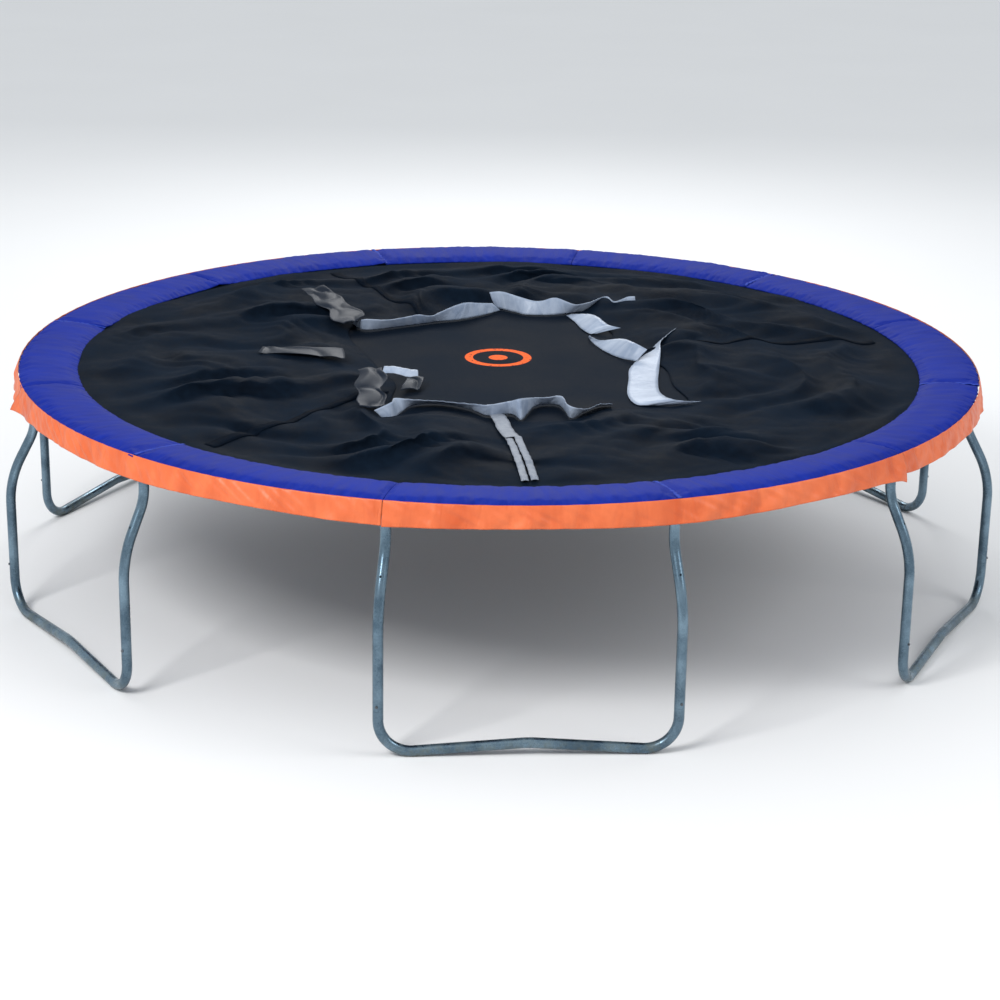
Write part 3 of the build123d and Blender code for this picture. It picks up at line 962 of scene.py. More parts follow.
@dataclass
class MatRings:
    """Ninety-six rounded triangles of wire at the mat's edge."""

    plan: Plan
    count: int = 96
    wire: float = 0.004
    base: float = 0.044
    depth: float = 0.034
    sides: int = 6

    def build(self, effects: Effects) -> None:
        """Build the rings as closed tubes carried round a rounded triangle."""
        plan = self.plan
        inner = plan.ring_point - self.depth - 0.002
        corner = np.array([[inner, -self.base / 2], [inner, self.base / 2], [inner + self.depth, 0.0]])
        edges = []
        for k in range(3):
            before, here, after = corner[k - 1], corner[k], corner[(k + 1) % 3]
            first = here + (before - here) * 0.2
            last = here + (after - here) * 0.2
            t = np.linspace(0, 1, 5)[:, None]
            edges.append((1 - t) ** 2 * first + 2 * t * (1 - t) * here + t**2 * last)
        path = np.concatenate(edges)
        shape = Shape()
        turn = np.arange(self.sides) * 2 * math.pi / self.sides
        along = np.roll(path, -1, axis=0) - np.roll(path, 1, axis=0)
        along /= np.linalg.norm(along, axis=1, keepdims=True)
        side = np.stack([along[:, 1], -along[:, 0]], axis=1)
        for k in range(self.count):
            azimuth = (k + 0.5) * 2 * math.pi / self.count
            flat = path[:, None] + side[:, None] * np.cos(turn)[:, None] * self.wire / 2
            lift = plan.ring_z + np.sin(turn) * self.wire / 2 + 0 * flat[..., 0]
            x = flat[..., 0] * math.sin(azimuth) + flat[..., 1] * math.cos(azimuth)
            y = -flat[..., 0] * math.cos(azimuth) + flat[..., 1] * math.sin(azimuth)
            points = np.stack([x, y, lift], axis=-1)
            closed = np.concatenate([points, points[:1]])
            rows = len(path)
            i, j = np.meshgrid(np.arange(rows), np.arange(self.sides), indexing="ij")
            k2, n2 = (j + 1) % self.sides, (i + 1) % rows
            quads = np.stack([i * self.sides + j, n2 * self.sides + j, n2 * self.sides + k2, i * self.sides + k2], axis=-1)
            shape.add(closed[:-1], [quads.reshape(-1, 4)])
        finish_piece(shape.build("mat_rings_wire"), "mat_edge", "spring_wire", ("mat_rings",), BrightZinc("ring_wire").make(effects))


# ------------------------------------------------------------------ mat
@dataclass
class JumpingMat:
    """The woven mat: a ring that rides on the edge and twelve wedges that stretch into the middle."""

    plan: Plan
    thickness: float = 0.0022
    reach: float = 0.0015

    def disc(self, inner: float, outer: float, from_azimuth: float, to_azimuth: float, rows: int, cols: int) -> Shape:
        """A flat closed sector of the mat between two radii and two azimuths."""
        r = np.linspace(inner, outer, rows)[:, None]
        azimuth = np.linspace(from_azimuth, to_azimuth, cols)[None]
        shape = Shape()
        add_sheet(shape, polar(r, azimuth, self.plan.mat_top - self.thickness / 2), self.thickness)
        return shape

    def build(self, effects: Effects) -> None:
        """Build the ring and the wedges."""
        plan = self.plan
        plain, printed = MatWeave(printed=False).make(effects), MatWeave().make(effects)
        split = plan.middle_r + self.reach
        ring = self.disc(split, plan.mat_r, 0.0, 2 * math.pi, 14, 289).build("mat_ring", smooth=False)
        merge_doubles(ring)
        finish_piece(ring, "mat_edge", "mat_weave", ("mat_field",), plain)
        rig.sheet(ring, flat=(2 * plan.mat_r, 2 * plan.mat_r), held="stretched", rests_on=["springs"], area=math.pi * (plan.mat_r**2 - split**2))
        for k in range(SECTORS):
            wedge = self.disc(0.0, split, k * SECTOR, (k + 1) * SECTOR, 30, 13).build(f"mat_wedge_{k + 1:02d}", smooth=False)
            merge_doubles(wedge)
            finish_piece(wedge, None, "mat_weave", ("mat_centre",), printed)
            middle = (k + 0.5) * SECTOR
            at = lambda r: (r * math.sin(middle), -r * math.cos(middle), plan.mat_top)
            start = split * math.cos(SECTOR / 2) - 0.003
            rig.blend(wedge, "mat_edge", "mat_middle", start=at(start), end=at(0.12))
            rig.sheet(wedge, flat=(split, 2 * split * math.sin(SECTOR / 2)), held="stretched", rests_on=["mat_ring"], area=split**2 * SECTOR / 2)


def merge_doubles(obj: bpy.types.Object) -> None:
    """Join points that lie on each other, and turn the faces outwards."""
    work = bmesh.new()
    work.from_mesh(obj.data)
    bmesh.ops.remove_doubles(work, verts=work.verts, dist=0.00002)
    bmesh.ops.recalc_face_normals(work, faces=work.faces)
    work.to_mesh(obj.data)
    work.free()


@dataclass
class MatHem:
    """The mat's webbing hem and the tabs that hold the rings."""

    plan: Plan
    width: float = 0.055
    thickness: float = 0.0016
    tab_width: float = 0.024
    tab_tail: float = 0.05
    count: int = 96

    def build(self, effects: Effects) -> None:
        """Build the hem as two rings of webbing, and the tabs as strips that turn round the wire."""
        plan = self.plan
        shape = Shape()
        cols = 385
        azimuth = np.linspace(0, 2 * math.pi, cols)[None]
        r = np.linspace(plan.mat_r - self.width, plan.mat_r + 0.0008, 7)[:, None]
        for side in (1, -1):
            level = (plan.mat_top if side > 0 else plan.mat_low) + side * 0.0014
            wave = 0.0005 * np.sin(96 * azimuth) * (r > plan.mat_r - 0.02)
            flat = np.stack(np.broadcast_arrays(azimuth * plan.mat_r, r - plan.mat_r), axis=-1)
            add_sheet(shape, polar(r, azimuth, level + wave), self.thickness, flat)
        hem = shape.build("mat_hem_webbing")
        merge_doubles(hem)
        webbing = WovenCloth("black_webbing", tint(0.010, 0.013, 0.020), tint(0.022, 0.027, 0.036), 700.0).make(effects)
        finish_piece(hem, "mat_edge", "webbing", ("mat_hem",), webbing)
        tabs = self.tabs()
        finish_piece(tabs, "mat_edge", "webbing", ("mat_hem",), webbing)
        hem_length = 2 * math.pi * plan.mat_r
        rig.sheet(hem, flat=(hem_length, 2 * self.width), held="folded", rests_on=["mat_ring"])
        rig.sheet(tabs, flat=(self.count * self.tab_width, 2 * self.tab_tail + 0.012), held="folded", rests_on=["mat_hem_webbing"])

    def tabs(self) -> bpy.types.Object:
        """The tabs: a strip from under the hem, half round the ring's wire and back over it."""
        plan = self.plan
        wire_r = plan.ring_point - 0.034 - 0.002
        turn = np.linspace(-math.pi / 2, math.pi / 2, 9)
        loop_r, loop_z = wire_r + 0.0034 * np.cos(turn), plan.ring_z + 0.0034 * np.sin(turn)
        tail_r = np.linspace(plan.mat_r - self.tab_tail, plan.mat_r - 0.004, 4)
        low = np.full(4, plan.hem_low - 0.0006)
        high = np.full(4, plan.mat_top + 0.0034)
        r = np.concatenate([tail_r, loop_r, tail_r[::-1]])
        z = np.concatenate([low, loop_z, high])
        shape = Shape()
        across = np.linspace(-0.5, 0.5, 4) * self.tab_width
        length = np.concatenate([[0], np.cumsum(np.hypot(np.diff(r), np.diff(z)))])
        for k in range(self.count):
            azimuth = (k + 0.5) * 2 * math.pi / self.count
            x = r[:, None] * math.sin(azimuth) + across * math.cos(azimuth)
            y = -r[:, None] * math.cos(azimuth) + across * math.sin(azimuth)
            grid = np.stack([x, y, z[:, None] + 0 * across], axis=-1)
            flat = np.stack(np.broadcast_arrays(length[:, None], across), axis=-1)
            add_sheet(shape, grid, 0.0012, flat)
        return shape.build("ring_tabs")


# ------------------------------------------------------------------ pad and skirt
class Border(Enum):
    """How a panel ends."""

    FREE = 0
    SEWN = 1


@dataclass
class PadCloth:
    """A cloth simulation of one pad cover: a slack, slightly long cover swells over its foam and wrinkles."""

    frames: int = 20
    pressure: float = 2.0
    slack: float = -0.02
    cap: float = 0.007
    share: float = 0.8

    def settle(self, points: np.ndarray, held: np.ndarray) -> np.ndarray:
        """Let the cover settle.

        Args:
            points: rows round the panel by loop points.
            held: how firmly each point is held, from 0 to 1.

        Returns:
            How far each point moved, with the longest moves cut to the cap.
        """
        rows, loop = points.shape[:2]
        shape = Shape()
        ends = [[list(range(loop))], [[(rows - 1) * loop + k for k in range(loop)]]]
        shape.add(points, [grid_faces(rows, loop, round_cols=True), *ends])
        obj = shape.build("pad_cloth_trial")
        group = obj.vertex_groups.new(name="held")
        for level in np.unique(held.round(2)):
            group.add(np.flatnonzero(np.abs(held.ravel() - level) < 0.006).tolist(), float(level), "REPLACE")
        cloth = obj.modifiers.new("cloth", "CLOTH")
        cloth.settings.vertex_group_mass = "held"
        cloth.settings.quality = 6
        cloth.settings.mass = 0.4
        cloth.settings.use_pressure = True
        cloth.settings.uniform_pressure_force = self.pressure
        cloth.settings.shrink_min = self.slack
        cloth.settings.tension_stiffness = cloth.settings.compression_stiffness = 12.0
        cloth.settings.bending_stiffness = 0.35
        cloth.settings.effector_weights.gravity = 0.0
        cloth.point_cache.frame_start, cloth.point_cache.frame_end = 1, self.frames
        scene = bpy.context.scene
        for number in range(1, self.frames + 1):
            scene.frame_set(number)
        seen = obj.evaluated_get(bpy.context.evaluated_depsgraph_get())
        moved = np.empty(rows * loop * 3)
        seen.data.vertices.foreach_get("co", moved)
        scene.frame_set(1)
        move = moved.reshape(points.shape) - points
        bpy.data.objects.remove(obj)
        length = np.linalg.norm(move, axis=-1, keepdims=True)
        return self.share * move * np.minimum(1.0, self.cap / np.maximum(length, 1e-9))


@dataclass
class PadPanel:
    """One padded panel: a crowned closed form with puckered ends and wrinkled edges."""

    plan: Plan
    number: int
    cols: int = 190
    loop: int = 64
    crown: float = 0.010
    rim: float = 0.010
    inner_drop: float = 0.016
    pucker: float = 0.0016
    gap: float = 0.0012
    sewn_pinch: float = 0.72
    free_pinch: float = 0.80

    def borders(self) -> tuple[Border, Border]:
        """The ends at the lower and the higher azimuth."""
        return (Border.FREE, Border.SEWN) if self.number % 2 == 0 else (Border.SEWN, Border.FREE)

    def grid(self) -> tuple[np.ndarray, np.ndarray]:
        """The panel's points and flat map.

        Returns:
            Columns by loop points. Round the loop the form is a flattened superellipse. Its crown falls to the
            sides, is pinched at the ends, and carries radial and crosswise ripples that fade from the edges.
        """
        plan = self.plan
        centre = self.number * SECTOR
        t = np.linspace(-1, 1, self.cols)
        t = np.sign(t) * (1 - (1 - np.abs(t)) ** 1.15)
        turn = np.arange(self.loop) * 2 * math.pi / self.loop
        x = np.sign(np.cos(turn)) * np.abs(np.cos(turn)) ** 0.6
        up = np.sign(np.sin(turn)) * np.abs(np.sin(turn)) ** 0.7
        t, x, up = t[:, None], x[None], up[None]
        half_width = (plan.pad_outer - plan.pad_inner) / 2
        middle_r = (plan.pad_outer + plan.pad_inner) / 2
        half_angle = SECTOR / 2 - self.gap / middle_r
        arc = (centre + t * half_angle) * middle_r
        away = (1 - np.abs(t)) * half_angle * middle_r
        edge = half_width * (1 - np.abs(x))
        low_border, high_border = self.borders()
        sewn = np.where(t < 0, low_border is Border.SEWN, high_border is Border.SEWN)
        base = plan.pad_low + 0.008 - self.inner_drop * (1 - x) / 2
        pinched = np.where(sewn, self.sewn_pinch, self.free_pinch)
        pinch = pinched + (1 - pinched) * soft_step(away / np.where(sewn, 0.05, 0.03)) ** 0.7
        radial = Ripples(200 + self.number, 0.035, 0.10, 0.25).at(arc, x * half_width)
        cross = Ripples(300 + self.number, 0.022, 0.06, 0.2).at(x * half_width, arc)
        broad = Ripples(400 + self.number, 0.16, 0.5, 1.0).at(arc, x * half_width)
        fine = Ripples(500 + self.number, 0.05, 0.14, 0.6).at(arc, x * half_width)
        ridge = -np.abs(radial) ** 0.8 + 0.4
        puckers = self.pucker * (0.9 * ridge * np.exp(-edge / 0.05) + 1.3 * cross * np.exp(-away / 0.035) * sewn)
        relief = puckers + 0.0024 * broad + 0.0009 * fine
        height = (self.rim + self.crown * (1 - np.abs(x) ** 2.4) ** 0.9) * pinch
        top = base + height * up + relief * np.clip(up, 0, 1) * np.minimum(1, pinch + 0.2)
        bottom = base + 0.007 * up + 0.0015 * broad * np.clip(-up, 0, 1)
        z = np.where(up > 0, top, bottom)
        r = middle_r + (half_width - 0.002) * x + 0.0025 * radial * np.exp(-edge / 0.02) - 0.004 * np.sign(x) * np.exp(-away / 0.03) * np.exp(-edge / 0.03)
        lift, reach = self.corners(t, x, away)
        azimuth = centre + t * half_angle
        points = polar(r + reach, azimuth, z + lift)
        flat = np.stack(np.broadcast_arrays(arc, x * half_width), axis=-1)
        return points, flat

    def held(self) -> np.ndarray:
        """How firmly the cover is held: fully at its ends and underneath, a little along its edges."""
        t = np.linspace(-1, 1, self.cols)[:, None]
        turn = np.arange(self.loop)[None] * 2 * math.pi / self.loop
        under = soft_step((-np.sin(turn) - 0.05) / 0.3)
        ends = soft_step((np.abs(t) - 0.975) / 0.02)
        return np.clip(np.maximum(under, ends) + 0 * t * turn, 0, 1)

    def corners(self, t: np.ndarray, x: np.ndarray, away: np.ndarray) -> tuple[np.ndarray, np.ndarray]:
        """Lift and outward reach of the loose corners at the free borders."""
        near = np.exp(-(away / 0.05))
        lift, reach = 0 * near * x, 0 * near * x
        if self.number in (7, 8):
            lift = lift + 0.012 * near * soft_step((-x - 0.2) / 0.8)
        if self.number in (9, 10):
            reach = reach + 0.012 * near * soft_step((x - 0.3) / 0.7)
        if self.number in (1, 2):
            reach = reach - 0.006 * near * soft_step((x - 0.3) / 0.7)
        return lift, reach

    def build(self, material: bpy.types.Material, name: str, swell: np.ndarray) -> bpy.types.Object:
        """Build the panel's closed mesh.

        Args:
            material: its finish.
            name: its name.
            swell: the settled cover's moves in the panel's own axes, added to the form.

        Returns:
            The panel.
        """
        points, flat = self.grid()
        points = points + turned_moves(swell, self.number * SECTOR)
        shape = Shape()
        ends = [[list(range(self.loop))], [[(self.cols - 1) * self.loop + k for k in range(self.loop)]]]
        shape.add(points, [grid_faces(self.cols, self.loop, round_cols=True), *ends], flat)
        obj = shape.build(name)
        finish_piece(obj, "frame", "blue_vinyl", (f"pad_panel_{self.number + 1:02d}",), material)
        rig.padded(obj, fill=0.45)
        return obj


def turned_moves(moves: np.ndarray, azimuth: float) -> np.ndarray:
    """Moves of the panel at azimuth 0, turned about the middle axis to another azimuth."""
    x = moves[..., 0] * math.cos(azimuth) - moves[..., 1] * math.sin(azimuth)
    y = moves[..., 0] * math.sin(azimuth) + moves[..., 1] * math.cos(azimuth)
    return np.stack([x, y, moves[..., 2]], axis=-1)


@dataclass
class PadRing:
    """Twelve padded panels, sewn in pairs, with a bound seam over each sewn pair."""

    plan: Plan
    vinyl: CoatedVinyl = CoatedVinyl("blue_vinyl", tint(0.004, 0.014, 0.19), tint(0.008, 0.024, 0.27), 0.62, 0.0, 30.0, 5.0, 0.001, 0.06)

    def build(self, effects: Effects) -> None:
        """Build the panels and the seam bindings."""
        vinyl = self.vinyl.make(effects)
        panels = [PadPanel(self.plan, number) for number in range(SECTORS)]
        swell = self.swell(panels[0])
        for panel in panels:
            mirrored = swell[::-1] * [-1, 1, 1] if panel.number % 2 else swell
            panel.build(vinyl, f"pad_{panel.number + 1:02d}", mirrored)
        binding = CoatedVinyl("blue_binding", tint(0.012, 0.034, 0.28), tint(0.030, 0.060, 0.38), 0.62, 0.0, 30.0, 5.0, 0.001, 0.08).make(effects)
        for k in range(SECTORS // 2):
            self.seam(k, panels[2 * k]).build_on(binding)

    def swell(self, panel: PadPanel) -> np.ndarray:
        """The cover's settled moves at azimuth 0; its mirror image serves the panels on a seam's other side."""
        points = panel.grid()[0]
        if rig.quick():
            return np.zeros_like(points)
        return PadCloth().settle(points, panel.held())

    def seam(self, k: int, panel: PadPanel) -> "SeamBinding":
        """The binding over one sewn border."""
        return SeamBinding(self.plan, k, panel)


@dataclass
class SeamBinding:
    """A bound seam that lies in the pucker between two sewn panels."""

    plan: Plan
    number: int
    panel: PadPanel
    width: float = 0.016
    steps: int = 46

    def build_on(self, material: bpy.types.Material) -> None:
        """Build the binding as a wavy strip along the seam, a little above the pinched ends."""
        plan = self.plan
        seam = (2 * self.number + 0.5) * SECTOR
        half_width = (plan.pad_outer - plan.pad_inner) / 2
        middle_r = (plan.pad_outer + plan.pad_inner) / 2
        x = np.linspace(-1.0, 1.0, self.steps)[:, None]
        across = np.linspace(-1, 1, 5)[None]
        base = plan.pad_low + 0.008 - self.panel.inner_drop * (1 - x) / 2
        height = (self.panel.rim + self.panel.crown * (1 - np.abs(x) ** 2.4) ** 0.9) * self.panel.sewn_pinch + 0.0012
        wave = Ripples(700 + self.number, 0.02, 0.05, 0.1).at(x * half_width, 0 * across)
        z = base + height + 0.0018 * wave - 0.0015 * across**2
        side = (0.0018 * wave + across * self.width / 2) / middle_r
        grid = polar(middle_r + half_width * x * 0.98 + 0 * across, seam + side, z)
        flat = np.stack(np.broadcast_arrays(x * half_width, across * self.width / 2), axis=-1)
        shape = Shape()
        add_sheet(shape, grid, 0.0016, flat)
        obj = shape.build(f"pad_seam_{self.number + 1}")
        finish_piece(obj, "frame", "blue_vinyl", (), material)
        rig.sheet(obj, flat=(2 * half_width, self.width), held="folded", rests_on=[f"pad_{2 * self.number + 1:02d}"])


@dataclass
class SkirtSet:
    """Six orange skirt panels that hang from the pad's outer edge."""

    plan: Plan
    cols: int = 330
    rows: int = 20
    thickness: float = 0.0016
    vinyl: CoatedVinyl = CoatedVinyl("orange_vinyl", tint(0.54, 0.088, 0.022), tint(0.74, 0.165, 0.055), 0.42, 0.12, 12.0, 4.0, 0.006)

    def panel(self, k: int) -> tuple[np.ndarray, np.ndarray]:
        """Points and flat map of one panel.

        Returns:
            Rows from the top edge down. The sheet flares to its hem, with ripples that lean and grow downwards.
        """
        plan = self.plan
        start = FIRST_SEAM + k * SECTION
        t = np.linspace(0, 1, self.cols)[None]
        v = np.linspace(0, 1, self.rows)[:, None]
        azimuth = start + 0.0006 + t * (SECTION - 0.0012)
        arc = azimuth * plan.pad_outer
        drop = plan.skirt_top - plan.skirt_low
        z = plan.skirt_top - 0.001 - v * drop
        lean = arc + 0.9 * v * drop
        wide = Ripples(600 + k, 0.12, 0.40, 0.3).at(lean, v * drop)
        narrow = Ripples(650 + k, 0.05, 0.14, 0.5).at(arc - 1.3 * v * drop, v * drop)
        tuck = np.exp(-v * drop / 0.012)
        r = plan.pad_outer + 0.002 + (plan.skirt_hem_r - plan.pad_outer) * v**0.8 - 0.002 * tuck
        r = r + 0.008 * wide * v + 0.0042 * narrow * (0.25 + v * (1 - v) * 2.4)
        z = z + 0.0025 * wide * v - 0.004 * v * np.cos(2 * math.pi * t * 2)
        near_start, near_end = np.exp(-t * SECTION * plan.pad_outer / 0.06), np.exp(-(1 - t) * SECTION * plan.pad_outer / 0.06)
        r, z = self.loose_ends(k, r, z, v, near_start, near_end)
        flat = np.stack(np.broadcast_arrays(arc, v * drop), axis=-1)
        return polar(r, azimuth, z), flat

    def loose_ends(self, k: int, r: np.ndarray, z: np.ndarray, v: np.ndarray, start: np.ndarray, end: np.ndarray) -> tuple:
        """Let the corners at the free borders hang, stand out or overlap."""
        if k == 0:
            r, z = r + 0.004 * start * v, z - 0.004 * start * v
            r, z = r + 0.018 * end * v, z - 0.022 * end * v
        if k == 1:
            r, z = r - 0.008 * start * v, z + 0.008 * start * v
        if k == 4:
            r = r + 0.02 * end * v
        if k == 5:
            r, z = r + 0.035 * start * v, z - 0.004 * start * v
        return r, z

    def build(self, effects: Effects) -> None:
        """Build the six panels."""
        vinyl = self.vinyl.make(effects)
        length = SECTION * self.plan.pad_outer
        drop = self.plan.skirt_top - self.plan.skirt_low
        for k in range(SECTORS // 2):
            shape = Shape()
            grid, flat = self.panel(k)
            add_sheet(shape, grid, self.thickness, flat)
            obj = shape.build(f"skirt_{k + 1}")
            finish_piece(obj, "frame", "orange_vinyl", (f"skirt_panel_{k + 1}",), vinyl)
            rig.sheet(obj, flat=(length, drop), held="hung", rests_on=[f"pad_{2 * k + 1:02d}"])


@dataclass
class PadTies:
    """Elastic loops that hold the pad to the rail."""

    plan: Plan
    width: float = 0.025
    thickness: float = 0.0012
    azimuths: tuple = ()

    def build(self, effects: Effects) -> None:
        """Build each tie as a closed band round the rail, with a little cupping."""
        plan = self.plan
        shape = Shape()
        turn = np.linspace(0, 2 * math.pi, 33)[:, None]
        across = np.linspace(-0.5, 0.5, 6)[None]
        bore = plan.rail_tube + 0.0008 + 0.0003 * np.cos(3 * turn) + 0 * across
        for azimuth in tie_azimuths():
            r, up = plan.rail_r + bore * np.cos(turn), plan.rail_z + bore * np.sin(turn)
            side = across * self.width
            x = r * math.sin(azimuth) + side * math.cos(azimuth)
            y = -r * math.cos(azimuth) + side * math.sin(azimuth)
            flat = np.stack(np.broadcast_arrays(turn * plan.rail_tube, side), axis=-1)
            add_sheet(shape, np.stack(np.broadcast_arrays(x, y, up), axis=-1), self.thickness, flat)
        obj = shape.build("pad_elastic_ties")
        merge_doubles(obj)
        elastic = WovenCloth("black_elastic", tint(0.012, 0.012, 0.014), tint(0.03, 0.03, 0.034), 900.0).make(effects)
        finish_piece(obj, "frame", "elastic", ("pad_ties",), elastic)
        count = len(tie_azimuths())
        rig.sheet(obj, flat=(2 * math.pi * plan.rail_tube, count * self.width), held="folded", rests_on=["top_rail_01"])


def tie_azimuths() -> list[float]:
    """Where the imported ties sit, from their points' azimuths."""
    mesh = frame["nodes"]["pad_ties"].data
    points = np.empty(len(mesh.vertices) * 3)
    mesh.vertices.foreach_get("co", points)
    points = points.reshape(-1, 3)
    azimuth = np.sort(np.arctan2(points[:, 0], -points[:, 1]) % (2 * math.pi))
    breaks = np.flatnonzero(np.diff(azimuth) > 0.05) + 1
    return [float(part.mean()) for part in np.split(azimuth, breaks)]


# ------------------------------------------------------------------ enclosure net
@dataclass
class EnclosureNet:
    """The net, dropped on the mat: a gathered ring of knitted cloth between the mat's edge and the bare middle."""

    plan: Plan
    cols: int = 440
    rows: int = 62
    thickness: float = 0.0016
    outer_edge: float = 1.945
    heap: float = 0.105
    centre: tuple[float, float] = (0.0, 0.06)
    opening: tuple = (
        (0.04, -0.95), (0.25, -0.93), (0.42, -0.77), (0.60, -0.77), (0.78, -0.68), (0.75, -0.40), (0.75, -0.14),
        (0.68, 0.05), (0.60, 0.20), (0.55, 0.33), (0.57, 0.48), (0.54, 0.62), (0.48, 0.74), (0.44, 0.88),
        (0.28, 0.90), (0.14, 0.94), (0.02, 0.98), (-0.08, 0.86), (-0.20, 0.77), (-0.34, 0.70), (-0.50, 0.62),
        (-0.67, 0.60), (-0.68, 0.40), (-0.63, 0.20), (-0.58, 0.00), (-0.53, -0.20), (-0.48, -0.38), (-0.50, -0.58),
        (-0.52, -0.80), (-0.44, -0.84), (-0.30, -0.78), (-0.17, -0.84), (-0.08, -0.92),
    )
    strip_azimuths: tuple = (97, 205, 318)

    def opening_radius(self, azimuth: np.ndarray) -> np.ndarray:
        """Distance from the opening's centre to its edge, read off a smooth line through its corners."""
        corners = np.array(self.opening) - self.centre
        line = smooth_line(np.concatenate([corners, corners[:1]]), 8)
        angle = np.arctan2(line[:, 0], -line[:, 1]) % (2 * math.pi)
        order = np.argsort(angle)
        return np.interp(azimuth, angle[order], np.hypot(*line.T)[order], period=2 * math.pi)

    def plain(self) -> tuple[np.ndarray, np.ndarray, np.ndarray]:
        """Ground place of the grid.

        Returns:
            Points x, y by rows from the opening out and columns round, and each row's share v from 0 to 1.
        """
        azimuth = np.arange(self.cols)[None] * 2 * math.pi / self.cols
        v = np.linspace(0, 1, self.rows)[:, None]
        inner = self.opening_radius(azimuth)
        cx, cy = self.centre
        dx, dy = np.sin(azimuth), -np.cos(azimuth)
        along = cx * dx + cy * dy
        outer = -along + np.sqrt(along**2 + self.outer_edge**2 - cx**2 - cy**2)
        reach = inner + (outer - inner) * v
        return cx + reach * dx, cy + reach * dy, v + 0 * azimuth

    def heaped(self) -> np.ndarray:
        """The net's folds.

        Returns:
            Points by rows and columns. Height is a broad hill plus long rounded folds, each a power of a half
            raised sine of a warped phase: concentric ones on the +X side, crossing ones elsewhere. The sum falls
            to the mat at both edges, and the crests lean sideways so that some of them overhang.
        """
        x, y, v = self.plain()
        wx, wy = x + 0.13 * Ripples(11, 0.5, 1.5, 1.0, 6).at(x, y), y + 0.13 * Ripples(12, 0.5, 1.5, 1.0, 6).at(x, y)
        right = soft_step((wx - 0.15) / 0.7)
        ring = np.hypot(wx - 0.55, wy + 0.15) / 0.30 + 0.35 * Ripples(13, 0.5, 1.4, 1.0, 6).at(x, y)
        cross = (0.55 * wx - 0.84 * wy) / 0.36 + 0.55 * Ripples(14, 0.5, 1.4, 1.0, 6).at(x, y)
        minor = (0.8 * wx + 0.6 * wy) / 0.17 + 0.9 * Ripples(15, 0.35, 1.0, 1.0, 6).at(x, y)
        fold = right * self.rounded(ring) + (1 - right) * self.rounded(cross)
        patchy = soft_step(0.5 + 0.7 * Ripples(18, 0.5, 1.4, 1.0, 6).at(x, y))
        hill = 0.5 + 0.5 * Ripples(17, 0.9, 2.2, 1.0, 6).at(x, y)
        crease = np.abs(Ripples(16, 0.14, 0.4, 1.0, 8).at(x, y)) ** 0.8
        rise = soft_step(v / 0.22) * (0.12 + 0.88 * soft_step((1 - v) / 0.34))
        height = 0.38 * hill + 0.46 * fold * (0.35 + 0.65 * patchy) + 0.10 * self.rounded(minor) * patchy + 0.05 * crease
        lane = np.exp(-(((x + 0.02) / 0.20) ** 2)) * soft_step((-0.75 - y) / 0.2)
        height = height * (1 - 0.8 * lane)
        edge = 0.0125 * soft_step((v - 0.86) / 0.08)
        z = self.plan.mat_top + 0.005 + edge + self.heap * rise * np.clip(height, 0.0, 1.25)
        lean = self.heap * rise * patchy
        x = x + lean * (0.5 * right * np.sin(2 * math.pi * ring) + 0.3 * (1 - right) * np.sin(2 * math.pi * cross))
        y = y + lean * 0.35 * np.cos(2 * math.pi * cross) * (1 - right)
        return np.stack([x, y, z], axis=-1)

    @staticmethod
    def rounded(phase: np.ndarray) -> np.ndarray:
        """Rounded crests with narrower valleys: one minus the power 1.6 of a half raised cosine."""
        return 1 - (0.5 + 0.5 * np.cos(2 * math.pi * phase)) ** 1.6

    def build(self, effects: Effects) -> np.ndarray:
        """Build the net and its seam webbing.

        Returns:
            The grid of the net's points.
        """
        grid = self.heaped()
        wrapped = np.concatenate([grid, grid[:, :1]], axis=1)
        turn = np.arange(self.cols + 1) * 2 * math.pi / self.cols
        flat = np.stack(np.broadcast_arrays(turn[None] * self.plan.net_outer, np.linspace(0, 1.7, self.rows)[:, None]), axis=-1)
        shape = Shape()
        add_sheet(shape, wrapped, self.thickness, flat)
        obj = shape.build("enclosure_net_cloth")
        merge_doubles(obj)
        finish_piece(obj, "mat_edge", "net_mesh", ("enclosure_net",), KnittedNet().make(effects))
        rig.sheet(obj, flat=(2 * math.pi * self.plan.net_outer, 1.0), held="gathered", rests_on=["mat_ring"])
        self.strips(grid, effects)
        return grid

    def strips(self, grid: np.ndarray, effects: Effects) -> None:
        """Build the seam webbing along some of the net's columns, lying on its surface."""
        normal = surface_normals(grid)
        normal *= np.sign(normal[..., 2:])
        shape = Shape()
        for degrees in self.strip_azimuths:
            column = int(degrees / 360 * self.cols)
            patch = (grid + 0.003 * normal)[2:-6, column:column + 3]
            flat = np.stack(np.broadcast_arrays(np.arange(patch.shape[0])[:, None] * 0.025, np.arange(3)[None] * 0.01), axis=-1)
            add_sheet(shape, patch, 0.0014, flat)
        obj = shape.build("net_seam_webbing")
        navy = WovenCloth("navy_webbing", tint(0.0016, 0.0036, 0.0080), tint(0.0040, 0.0085, 0.0170), 600.0, shine=0.02).make(effects)
        finish_piece(obj, "mat_edge", "net_mesh", (), navy)
        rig.sheet(obj, flat=(len(self.strip_azimuths) * 0.038, 1.17), held="gathered", rests_on=["enclosure_net_cloth"])


